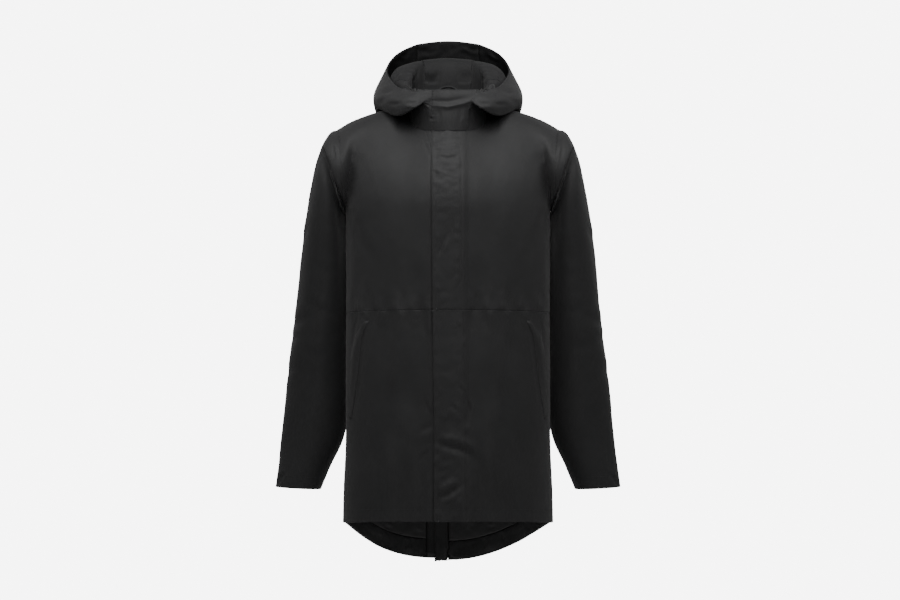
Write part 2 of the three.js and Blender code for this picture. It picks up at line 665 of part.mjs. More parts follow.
const loop = [0, hangerLoop.tape].map((inset) => steps(hangerLoop.segments).map((share) => {
  const turn = share * Math.PI;
  const x = -(hangerLoop.halfWidth - inset) * Math.cos(turn);
  const z = hangerLoop.foot + (hangerLoop.height - inset) * Math.sin(turn);
  return vector(x, liningFace(x, z) - hangerLoop.standOff, z);
}));
cut("hanger_loop", loop, materials.tape, liningCloth, 1);

sharedNormals(pieces);
const group = new THREE.Group();
for (const piece of pieces) {
  const mesh = new THREE.Mesh(wallGeometry(piece), piece.material);
  mesh.name = piece.name;
  group.add(mesh);
}

export default group;
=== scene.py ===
import json
import math

import bmesh
import bpy
import numpy as np
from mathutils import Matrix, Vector, noise
from mathutils.bvhtree import BVHTree
from mathutils.kdtree import KDTree

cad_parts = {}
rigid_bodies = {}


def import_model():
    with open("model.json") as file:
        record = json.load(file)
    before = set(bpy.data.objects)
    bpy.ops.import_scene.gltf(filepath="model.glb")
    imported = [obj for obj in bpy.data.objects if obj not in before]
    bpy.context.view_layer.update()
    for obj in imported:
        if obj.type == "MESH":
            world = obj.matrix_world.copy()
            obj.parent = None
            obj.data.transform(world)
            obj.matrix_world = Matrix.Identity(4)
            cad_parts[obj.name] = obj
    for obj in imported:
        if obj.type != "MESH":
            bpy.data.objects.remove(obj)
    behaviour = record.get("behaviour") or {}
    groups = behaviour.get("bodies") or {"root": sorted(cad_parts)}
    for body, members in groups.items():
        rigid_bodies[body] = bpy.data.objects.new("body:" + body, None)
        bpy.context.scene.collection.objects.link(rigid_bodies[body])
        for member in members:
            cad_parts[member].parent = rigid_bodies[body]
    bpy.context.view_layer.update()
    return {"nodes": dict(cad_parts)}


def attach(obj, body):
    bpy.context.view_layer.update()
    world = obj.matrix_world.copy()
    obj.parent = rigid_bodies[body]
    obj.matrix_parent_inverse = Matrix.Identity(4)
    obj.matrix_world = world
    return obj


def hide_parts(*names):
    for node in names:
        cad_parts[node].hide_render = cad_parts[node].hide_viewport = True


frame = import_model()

print("frame loaded:", len(frame["nodes"]), "nodes")

# the camera, the floor and the light; metres
studioValues = {
    "cameraAt": (0.0039, -7.312, -0.380),
    "lens": 150.0, "sensor": 36.0,  # millimetres
    "floorZ": -1.46,
    "floorRadius": 2.6,
    "floorColour": (0.66, 0.66, 0.66),
    "wallLight": 7.0,  # what the eye sees behind the garment
    "skyLight": 0.40,  # what the cloth receives from above
    "groundLight": 0.02,
    "skyFrom": (-0.06, 0.80),  # between which heights of the view the one becomes the other
    "topLamp": (0.0, -1.15, 1.35, 1.1, 26.0),  # x, y, z, size, watts
    "frontLamp": (0.0, -1.7, 0.35, 0.9, 4.0),
    "leftLamp": (-1.7, -0.5, 1.1, 1.0, 14.0),
    "rightLamp": (1.7, -0.5, 1.1, 1.0, 14.0),
    "backLamp": (0.0, 1.6, -0.35, 0.36, 13.0),  # stands behind the garment, for its back alone
    "hoodLamp": (0.0, -2.6, 1.3, 0.5, 230.0),  # a narrow soft beam on the hood
    "hoodBeam": 11.0,  # degrees
    "garmentMiddle": (0, 0, -0.35),  # what the lamps look at
    "hoodMiddle": (0, 0, 0.02),
}


def makeCamera(values):
    data = bpy.data.cameras.new("frontCamera")
    data.lens = values["lens"]
    data.sensor_width = values["sensor"]
    data.clip_start, data.clip_end = 0.1, 60.0
    camera = bpy.data.objects.new("frontCamera", data)
    camera.location = values["cameraAt"]
    camera.rotation_euler = (math.radians(90), 0, 0)
    bpy.context.scene.collection.objects.link(camera)
    bpy.context.scene.camera = camera


def placeLight(name, data, spot, target):
    lamp = bpy.data.objects.new(name, data)
    lamp.location = spot
    lamp.rotation_euler = (Vector(target) - lamp.location).to_track_quat("-Z", "Y").to_euler()
    lamp.visible_camera = False
    bpy.context.scene.collection.objects.link(lamp)


def makeLamp(name, placeAndPower):
    x, y, z, size, watts = placeAndPower
    data = bpy.data.lights.new(name, "AREA")
    data.shape, data.size, data.energy = "DISK", size, watts
    placeLight(name, data, (x, y, z), studioValues["garmentMiddle"])


def makeBeam(name, placeAndPower, angle):
    x, y, z, size, watts = placeAndPower
    data = bpy.data.lights.new(name, "SPOT")
    data.shadow_soft_size, data.energy = size, watts
    data.spot_size, data.spot_blend = math.radians(angle), 1.0
    placeLight(name, data, (x, y, z), studioValues["hoodMiddle"])


def makeWorld(values):
    world = bpy.data.worlds.new("paleStudio")
    bpy.context.scene.world = world
    world.use_nodes = True
    nodes, links = world.node_tree.nodes, world.node_tree.links
    nodes.clear()
    place = nodes.new("ShaderNodeTexCoord")
    split = nodes.new("ShaderNodeSeparateXYZ")
    height = nodes.new("ShaderNodeMapRange")
    height.inputs["From Min"].default_value, height.inputs["From Max"].default_value = values["skyFrom"]
    height.inputs["To Min"].default_value = values["groundLight"]
    height.inputs["To Max"].default_value = values["skyLight"]
    cast = nodes.new("ShaderNodeBackground")
    wall = nodes.new("ShaderNodeBackground")
    wall.inputs["Strength"].default_value = values["wallLight"]
    wall.inputs["Color"].default_value = (1, 1, 1, 1)
    path = nodes.new("ShaderNodeLightPath")
    mix = nodes.new("ShaderNodeMixShader")
    output = nodes.new("ShaderNodeOutputWorld")
    links.new(place.outputs["Generated"], split.inputs["Vector"])
    links.new(split.outputs["Z"], height.inputs["Value"])
    links.new(height.outputs["Result"], cast.inputs["Strength"])
    links.new(path.outputs["Is Camera Ray"], mix.inputs["Fac"])
    links.new(cast.outputs["Background"], mix.inputs[1])
    links.new(wall.outputs["Background"], mix.inputs[2])
    links.new(mix.outputs["Shader"], output.inputs["Surface"])


def makeFloor(values):
    bm = bmesh.new()
    bmesh.ops.create_circle(bm, cap_ends=True, segments=96, radius=values["floorRadius"])
    bmesh.ops.translate(bm, verts=bm.verts, vec=(0, 0, values["floorZ"]))
    mesh = bpy.data.meshes.new("paleFloor")
    bm.to_mesh(mesh)
    bm.free()
    floor = bpy.data.objects.new("paleFloor", mesh)
    bpy.context.scene.collection.objects.link(floor)
    material = bpy.data.materials.new("floorPaint")
    material.use_nodes = True
    paint = material.node_tree.nodes["Principled BSDF"]
    paint.inputs["Base Color"].default_value = (*values["floorColour"], 1)
    paint.inputs["Roughness"].default_value = 0.9
    floor.data.materials.append(material)


makeCamera(studioValues)
makeWorld(studioValues)
makeFloor(studioValues)
for lampName in ("topLamp", "frontLamp", "leftLamp", "rightLamp", "backLamp"):
    makeLamp(lampName, studioValues[lampName])
makeBeam("hoodLamp", studioValues["hoodLamp"], studioValues["hoodBeam"])
print("studio ready")


def newGroup(name, inputs, outputs):
    group = bpy.data.node_groups.new(name, "ShaderNodeTree")
    for label, kind, value in inputs:
        socket = group.interface.new_socket(label, in_out="INPUT", socket_type=kind)
        if value is not None:
            socket.default_value = value
    for label, kind in outputs:
        group.interface.new_socket(label, in_out="OUTPUT", socket_type=kind)
    return group, group.nodes.new("NodeGroupInput"), group.nodes.new("NodeGroupOutput")


def mathNode(tree, operation, first, second):
    node = tree.nodes.new("ShaderNodeMath")
    node.operation = operation
    for slot, value in enumerate((first, second)):
        if isinstance(value, (int, float)):
            node.inputs[slot].default_value = value
        else:
            tree.links.new(value, node.inputs[slot])
    return node.outputs[0]


weaveValues = {
    "detail": 1.0, "detailScale": 0.4, "slubScale": 900.0, "slubDetail": 2.0, "slubShare": 0.35,
    "ribHeight": 0.0002,  # metres
}
agedValues = {"patchDetail": 3.0, "lintScale": 420.0, "lintDetail": 1.0, "lintFrom": 0.72}


def weaveGroup():
    # warp and weft ribs on the cloth's own lengths, with threads of uneven thickness
    group, start, end = newGroup(
        "weave",
        [
            ("Cloth", "NodeSocketVector", None), ("Yarns", "NodeSocketFloat", 520.0),
            ("Unevenness", "NodeSocketFloat", 0.35),
        ],
        [("Height", "NodeSocketFloat")],
    )
    ribs = []
    for direction in ("X", "Y"):
        wave = group.nodes.new("ShaderNodeTexWave")
        wave.wave_type, wave.bands_direction, wave.wave_profile = "BANDS", direction, "SIN"
        wave.inputs["Detail"].default_value = weaveValues["detail"]
        wave.inputs["Detail Scale"].default_value = weaveValues["detailScale"]
        group.links.new(start.outputs["Cloth"], wave.inputs["Vector"])
        group.links.new(start.outputs["Yarns"], wave.inputs["Scale"])
        group.links.new(start.outputs["Unevenness"], wave.inputs["Distortion"])
        ribs.append(wave.outputs["Fac"])
    slub = group.nodes.new("ShaderNodeTexNoise")
    slub.inputs["Scale"].default_value = weaveValues["slubScale"]
    slub.inputs["Detail"].default_value = weaveValues["slubDetail"]
    group.links.new(start.outputs["Cloth"], slub.inputs["Vector"])
    crossed = mathNode(group, "MULTIPLY", ribs[0], ribs[1])
    thicker = mathNode(group, "MULTIPLY", slub.outputs["Fac"], weaveValues["slubShare"])
    raised = mathNode(group, "ADD", crossed, thicker)
    group.links.new(raised, end.inputs["Height"])
    return group


def agedGroup():
    # slow shade change over a panel, and lint that catches on it
    group, start, end = newGroup(
        "agedCloth",
        [
            ("Place", "NodeSocketVector", None), ("Patch Scale", "NodeSocketFloat", 9.0),
            ("Lint", "NodeSocketFloat", 0.1),
        ],
        [("Shade", "NodeSocketFloat"), ("Lint", "NodeSocketFloat")],
    )
    patches = group.nodes.new("ShaderNodeTexNoise")
    patches.inputs["Detail"].default_value = agedValues["patchDetail"]
    group.links.new(start.outputs["Place"], patches.inputs["Vector"])
    group.links.new(start.outputs["Patch Scale"], patches.inputs["Scale"])
    specks = group.nodes.new("ShaderNodeTexNoise")
    specks.inputs["Scale"].default_value = agedValues["lintScale"]
    specks.inputs["Detail"].default_value = agedValues["lintDetail"]
    group.links.new(start.outputs["Place"], specks.inputs["Vector"])
    caught = mathNode(group, "GREATER_THAN", specks.outputs["Fac"], agedValues["lintFrom"])
    group.links.new(patches.outputs["Fac"], end.inputs["Shade"])
    group.links.new(mathNode(group, "MULTIPLY", caught, start.outputs["Lint"]), end.inputs["Lint"])
    return group


weave, agedCloth = weaveGroup(), agedGroup()

clothValues = {
    # dark, light: the cloth's two shades; the third: colour of rubbed edges and of the painted highlight on
    # fold crests; yarns: ribs; relief: bump of the weave
    "shellCloth": {
        "dark": (0.0135, 0.0135, 0.0140), "light": (0.0175, 0.0175, 0.0180), "worn": (0.032, 0.032, 0.033),
        "roughness": (0.56, 0.66), "sheen": 0.10, "sheenRoughness": 0.45, "specular": 0.32,
        "yarns": 520.0, "relief": 0.22, "lint": 0.05,
    },
    # painted light: a lighter copy of the lining, standing in for light the shaded inside of the back's hem
    # doesn't get
    "backLiningCloth": {
        "dark": (0.030, 0.030, 0.0305), "light": (0.038, 0.038, 0.0385), "worn": (0.046, 0.046, 0.047),
        "roughness": (0.50, 0.62), "sheen": 0.04, "sheenRoughness": 0.5, "specular": 0.30,
        "yarns": 760.0, "relief": 0.15, "lint": 0.03,
    },
    "liningCloth": {
        "dark": (0.010, 0.010, 0.0105), "light": (0.014, 0.014, 0.0145), "worn": (0.022, 0.022, 0.023),
        "roughness": (0.62, 0.72), "sheen": 0.04, "sheenRoughness": 0.5, "specular": 0.22,
        "yarns": 760.0, "relief": 0.15, "lint": 0.03,
    },
    # painted shade: the brim's inside is near-black, standing in for the shadow it lies in
    "brimCloth": {
        "dark": (0.0032, 0.0032, 0.0035), "light": (0.0050, 0.0050, 0.0053), "worn": (0.010, 0.010, 0.010),
        "roughness": (0.54, 0.64), "sheen": 0.01, "sheenRoughness": 0.4, "specular": 0.16,
        "yarns": 640.0, "relief": 0.12, "lint": 0.02,
    },
    # painted light: lighter than the shell cloth, standing in for light on the shaded insides of the hem and
    # vent
    "facingCloth": {
        "dark": (0.019, 0.019, 0.0195), "light": (0.026, 0.026, 0.0265), "worn": (0.034, 0.034, 0.034),
        "roughness": (0.48, 0.60), "sheen": 0.02, "sheenRoughness": 0.4, "specular": 0.32,
        "yarns": 640.0, "relief": 0.12, "lint": 0.02,
    },
    "wovenTape": {
        "dark": (0.016, 0.016, 0.017), "light": (0.022, 0.022, 0.023), "worn": (0.03, 0.03, 0.03),
        "roughness": (0.6, 0.75), "sheen": 0.05, "sheenRoughness": 0.5, "specular": 0.3,
        "yarns": 210.0, "relief": 0.4, "lint": 0.05,
    },
    "sewingThread": {
        "dark": (0.008, 0.008, 0.0085), "light": (0.012, 0.012, 0.0125), "worn": (0.02, 0.02, 0.02),
        "roughness": (0.42, 0.55), "sheen": 0.05, "sheenRoughness": 0.5, "specular": 0.4,
        "yarns": 900.0, "relief": 0.25, "lint": 0.0,
    },
}


def clothMaterial(name, values):
    material = bpy.data.materials.new(name)
    material.use_nodes = True
    tree = material.node_tree
    nodes, links = tree.nodes, tree.links
    cloth = nodes["Principled BSDF"]
    cloth.inputs["Sheen Weight"].default_value = values["sheen"]
    cloth.inputs["Sheen Roughness"].default_value = values["sheenRoughness"]
    cloth.inputs["Specular IOR Level"].default_value = values["specular"]
    place = nodes.new("ShaderNodeTexCoord")
    lengths = nodes.new("ShaderNodeUVMap")
    lengths.uv_map = "clothLengths"
    ribs = nodes.new("ShaderNodeGroup")
    ribs.node_tree = weave
    ribs.inputs["Yarns"].default_value = values["yarns"]
    links.new(lengths.outputs["UV"], ribs.inputs["Cloth"])
    aged = nodes.new("ShaderNodeGroup")
    aged.node_tree = agedCloth
    aged.inputs["Lint"].default_value = values["lint"]
    links.new(place.outputs["Object"], aged.inputs["Place"])
    # edge wear, plus a painted highlight on fold crests, mixes in the lighter colour
    rubbed = nodes.new("ShaderNodeAttribute")
    rubbed.attribute_name = "rubbed"
    shade = nodes.new("ShaderNodeMix")
    shade.data_type = "RGBA"
    shade.inputs["A"].default_value = (*values["dark"], 1)
    shade.inputs["B"].default_value = (*values["light"], 1)
    links.new(aged.outputs["Shade"], shade.inputs["Factor"])
    worn = nodes.new("ShaderNodeMix")
    worn.data_type = "RGBA"
    worn.inputs["B"].default_value = (*values["worn"], 1)
    links.new(shade.outputs["Result"], worn.inputs["A"])
    links.new(mathNode(tree, "ADD", rubbed.outputs["Fac"], aged.outputs["Lint"]), worn.inputs["Factor"])
    links.new(worn.outputs["Result"], cloth.inputs["Base Color"])
    rough = nodes.new("ShaderNodeMapRange")
    rough.inputs["To Min"].default_value, rough.inputs["To Max"].default_value = values["roughness"]
    links.new(aged.outputs["Shade"], rough.inputs["Value"])
    links.new(rough.outputs["Result"], cloth.inputs["Roughness"])
    bump = nodes.new("ShaderNodeBump")
    bump.inputs["Strength"].default_value = values["relief"]
    bump.inputs["Distance"].default_value = weaveValues["ribHeight"]
    links.new(ribs.outputs["Height"], bump.inputs["Height"])
    links.new(bump.outputs["Normal"], cloth.inputs["Normal"])
    return material


cloths = {name: clothMaterial(name, values) for name, values in clothValues.items()}
print("cloths ready:", ", ".join(cloths))

outerFace, innerFace, rimFace = 0, 1, 2  # what a face of a cloth wall belongs to
wallValues = {
    "merge": 2e-6,  # metres within which a node's points are one
    "flatAngle": 40, "shapeAngle": 60,  # degrees within which two triangles make a quad
    "rimAngle": 55,  # degrees past which an edge ends a wall, and looks sharp
    "blankCell": 0.02,  # metres, for a grid cell that has no edge of its own
    "fitRounds": 2,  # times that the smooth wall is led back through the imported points
}


def faceGroups(bm, rimAngle):
    # faces joined over flat edges: the two walls come out as the largest groups
    sharp = {edge for edge in bm.edges if len(edge.link_faces) != 2 or edge.calc_face_angle(0) > rimAngle}
    groupOf, groups = {}, []
    for first in bm.faces:
        if first in groupOf:
            continue
        group, waiting = [], [first]
        groupOf[first] = len(groups)
        while waiting:
            face = waiting.pop()
            group.append(face)
            for edge in face.edges:
                if edge in sharp:
                    continue
                for other in edge.link_faces:
                    if other not in groupOf:
                        groupOf[other] = len(groups)
                        waiting.append(other)
        groups.append(group)
    groups.sort(key=lambda g: -sum(face.calc_area() for face in g))
    return groups, sharp


def layLengths(group, uvLayer):
    # walks the wall's grid and gives each corner its real distance along and across the cloth
    start = max((face for face in group if len(face.loops) == 4), key=lambda face: face.calc_area())
    steps = {start: [(0, 0), (1, 0), (1, 1), (0, 1)]}
    inGroup, waiting, spans = set(group), [start], [{}, {}]
    while waiting:
        face = waiting.pop(0)
        corners = steps[face]
        for index, loop in enumerate(face.loops):
            a, b = corners[index], corners[(index + 1) % len(corners)]
            across = (b[0] - a[0], b[1] - a[1])
            if abs(across[0]) + abs(across[1]) == 1:
                axis = 0 if across[0] else 1
                spans[axis].setdefault(min(a[axis], b[axis]), []).append(loop.edge.calc_length())
            for other in loop.edge.link_faces:
                if other in steps or other not in inGroup:
                    continue
                aside = (across[1], -across[0])
                laid = [b, a, (a[0] + aside[0], a[1] + aside[1]), (b[0] + aside[0], b[1] + aside[1])]
                shared = next(i for i, l in enumerate(other.loops) if l.edge == loop.edge)
                count = len(other.loops)
                last = 3 if count == 4 else 2
                steps[other] = [laid[min((i - shared) % count, last)] for i in range(count)]
                waiting.append(other)
    placeAt = []
    for axis in (0, 1):
        keys = [corner[axis] for corners in steps.values() for corner in corners]
        table, run = {}, 0.0
        for key in range(min(keys), max(keys) + 1):
            table[key] = run
            known = spans[axis].get(key)
            run += sum(known) / len(known) if known else wallValues["blankCell"]
        placeAt.append(table)
    for face, corners in steps.items():
        for loop, corner in zip(face.loops, corners):
            loop[uvLayer].uv = (placeAt[0][corner[0]], placeAt[1][corner[1]])


class Wall:  # one piece of cloth, with its points, quads and what is found about them
    pass


def pointsOf(mesh):
    points = np.empty(len(mesh.vertices) * 3)
    mesh.vertices.foreach_get("co", points)
    return points.reshape(-1, 3)



def smoothWall(nodeName, values):
    bm = bmesh.new()
    bm.from_mesh(frame["nodes"][nodeName].data)
    bmesh.ops.remove_doubles(bm, verts=bm.verts, dist=wallValues["merge"])
    flat, square = math.radians(wallValues["flatAngle"]), math.radians(wallValues["shapeAngle"])
    bmesh.ops.join_triangles(bm, faces=bm.faces, angle_face_threshold=flat, angle_shape_threshold=square)
    creaseLayer = bm.edges.layers.float.new("crease_edge")
    uvLayer = bm.loops.layers.uv.new("clothLengths")
    bm.faces.ensure_lookup_table()
    bm.normal_update()
    groups, sharp = faceGroups(bm, math.radians(wallValues["rimAngle"]))
    for edge in sharp:
        edge[creaseLayer] = 1.0
    for face in bm.faces:
        face.material_index = rimFace
        face.smooth = True
    for kind, group in ((outerFace, groups[0]), (innerFace, groups[1])):
        layLengths(group, uvLayer)
        for face in group:
            face.material_index = kind
    laid = {}
    for group in groups[:2]:
        for face in group:
            for loop in face.loops:
                laid[loop.vert] = loop[uvLayer].uv.copy()
    for group in groups[2:]:
        for face in group:
            for loop in face.loops:
                loop[uvLayer].uv = laid.get(loop.vert, (0, 0))
    if values["edgeLoop"]:  # a row close to each edge keeps the seam crisp when the wall is divided
        row = {"thickness": values["edgeLoop"] / 1000, "use_even_offset": True, "use_interpolate": True}
        for group in groups[:2]:
            bmesh.ops.inset_region(bm, faces=group, **row)
    mesh = bpy.data.meshes.new(nodeName + "Cage")
    bm.to_mesh(mesh)
    bm.free()
    cage = bpy.data.objects.new(nodeName + "Cage", mesh)
    bpy.context.scene.collection.objects.link(cage)
    divided = cage.modifiers.new("divided", "SUBSURF")
    divided.levels = divided.render_levels = 1
    target = pointsOf(mesh)
    reached = target.copy()
    for _ in range(wallValues["fitRounds"]):
        soft = bpy.data.meshes.new_from_object(cage.evaluated_get(bpy.context.evaluated_depsgraph_get()))
        reached = reached + (target - pointsOf(soft)[: len(target)])
        bpy.data.meshes.remove(soft)
        mesh.vertices.foreach_set("co", reached.ravel())
        mesh.update()
    divided.levels = divided.render_levels = values["levels"]
    fine = bpy.data.meshes.new_from_object(cage.evaluated_get(bpy.context.evaluated_depsgraph_get()))
    bpy.data.objects.remove(cage)
    bpy.data.meshes.remove(mesh)
    wall = Wall()
    wall.name, wall.mesh, wall.values = nodeName, fine, values
    wall.points = pointsOf(fine)
    corners = np.empty(len(fine.loops), dtype=np.int64)
    fine.loops.foreach_get("vertex_index", corners)
    wall.quads = corners.reshape(-1, 4)
    wall.kinds = np.empty(len(fine.polygons), dtype=np.int64)
    fine.polygons.foreach_get("material_index", wall.kinds)
    return wall


def faceNormals(wall):
    a, b, c, d = (wall.points[wall.quads[:, i]] for i in range(4))
    return np.cross(c - a, d - b)


def closeSeams(wall, distance):
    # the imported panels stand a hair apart: each edge is drawn out until sewn panels meet
    normals = faceNormals(wall)
    rims = wall.kinds == rimFace
    outward = np.zeros_like(wall.points)
    unit = normals[rims] / np.maximum(np.linalg.norm(normals[rims], axis=1, keepdims=True), 1e-12)
    for i in range(4):
        np.add.at(outward, wall.quads[rims][:, i], unit)
    lengths = np.linalg.norm(outward, axis=1, keepdims=True)
    wall.points = wall.points + distance * outward / np.maximum(lengths, 1e-9)


def readWall(wall, outward):
    # finds which wall is the outer one, its normals, and how far each point is from the edge of the cloth
    normals = faceNormals(wall)
    centres = wall.points[wall.quads].mean(axis=1)
    score = [0.0, 0.0]
    for kind in (outerFace, innerFace):
        chosen = wall.kinds == kind
        score[kind] = float((outward(centres[chosen]) * normals[chosen]).sum())
    if score[innerFace] > score[outerFace]:
        swapped = wall.kinds.copy()
        swapped[wall.kinds == outerFace], swapped[wall.kinds == innerFace] = innerFace, outerFace
        wall.kinds = swapped
    outerQuads = wall.quads[wall.kinds == outerFace]
    pointNormals = np.zeros_like(wall.points)
    for i in range(4):
        np.add.at(pointNormals, outerQuads[:, i], normals[wall.kinds == outerFace])
    wall.outerIds = np.unique(outerQuads)
    rimIds = np.intersect1d(wall.outerIds, np.unique(wall.quads[wall.kinds == rimFace]))
    lengths = np.linalg.norm(pointNormals, axis=1, keepdims=True)
    wall.normals = pointNormals / np.where(lengths > 0, lengths, 1)
    onRim = np.isin(wall.quads[wall.kinds == rimFace], rimIds)
    ends = wall.quads[wall.kinds == rimFace][onRim.sum(axis=1) == 2]
    ends = ends[onRim[onRim.sum(axis=1) == 2]].reshape(-1, 2)
    rimSpots = np.concatenate([
        wall.points[ends[:, 0]] * (1 - t) + wall.points[ends[:, 1]] * t for t in (0.0, 0.2, 0.4, 0.6, 0.8)
    ])
    rimTree = treeOf(rimSpots, range(len(rimSpots)))
    wall.edgeDistance = np.zeros(len(wall.points))
    wall.edgeAt = np.zeros_like(wall.points)
    for vertex in wall.outerIds:
        spot, _, distance = rimTree.find(wall.points[vertex])
        wall.edgeDistance[vertex], wall.edgeAt[vertex] = distance, spot
    wall.outerQuads = outerQuads


def treeOf(points, ids):
    tree = KDTree(len(ids))
    for vertex in ids:
        tree.insert(points[vertex], int(vertex))
    tree.balance()
    return tree



def seen(points):
    # where each point shows on the plane through the garment, from the front camera, in millimetres
    x0, y0, z0 = studioValues["cameraAt"]
    reach = -y0 / (points[:, 1] - y0)
    return np.column_stack(((points[:, 0] - x0) * reach + x0, (points[:, 2] - z0) * reach + z0)) * 1000


def smoothStep(value, low, high):
    t = np.clip((value - low) / (high - low), 0, 1)
    return t * t * (3 - 2 * t)


def creaseHeight(flat, rows):
    # flat: points in millimetres
    # rows: path, depth, width, height of the ridge beside it, ends: t tapers, n runs on, a third s is a step
    height = np.zeros(len(flat))
    for path, depth, width, ridge, ends in rows:
        path = np.array(path, float)
        reach = 4.5 * width
        near = np.where(
            (flat[:, 0] > path[:, 0].min() - reach) & (flat[:, 0] < path[:, 0].max() + reach)
            & (flat[:, 1] > path[:, 1].min() - reach) & (flat[:, 1] < path[:, 1].max() + reach)
        )[0]
        if not len(near):
            continue
        spots = flat[near]
        lengths = np.linalg.norm(np.diff(path, axis=0), axis=1)
        total, run = lengths.sum(), 0.0
        best = np.full(len(near), 1e9)
        side, along = np.zeros(len(near)), np.zeros(len(near))
        for a, b, length in zip(path[:-1], path[1:], lengths):
            way = (b - a) / length
            t = np.clip((spots - a) @ way, 0, length)
            gap = spots - (a + t[:, None] * way)
            distance = np.linalg.norm(gap, axis=1)
            closer = distance < best
            best[closer] = distance[closer]
            turned = way[0] * gap[:, 1] - way[1] * gap[:, 0]
            side[closer] = np.where(turned[closer] < 0, -1, 1)
            along[closer] = (run + t[closer]) / total
            run += length
        taper = np.ones(len(near))
        if ends[0] == "t":
            taper *= 0.15 + 0.85 * smoothStep(along, 0, 0.38)
        if ends[1] == "t":
            taper *= 0.15 + 0.85 * smoothStep(1 - along, 0, 0.38)
        signed = best * side
        if len(ends) == 3:  # a step: the cloth falls away on one side and comes back slowly
            fallen = signed * math.copysign(1, ridge)
            drop = smoothStep(fallen, -0.35 * width, 0.35 * width)
            height[near] -= depth * drop * np.exp(-np.maximum(fallen, 0) / (3 * width)) * taper
            continue
        trough = -depth * np.exp(-((best / width) ** 2))
        shift = math.copysign(1.9 * width, ridge)
        crest = abs(ridge) * np.exp(-(((signed - shift) / (1.25 * width)) ** 2))
        height[near] += (trough + crest) * taper
    return height


def swellHeight(flat, rows):
    # small round swellings: x, z, height, radius
    height = np.zeros(len(flat))
    for x, z, rise, radius in rows:
        height += rise * np.exp(-((flat[:, 0] - x) ** 2 + (flat[:, 1] - z) ** 2) / radius ** 2)
    return height


def softNoise(points, scale, seedShift):
    wide, deep, high = scale
    spots = ((x / wide + seedShift, y / deep, z / high) for x, y, z in points)
    return np.array([noise.noise(Vector(spot)) for spot in spots])


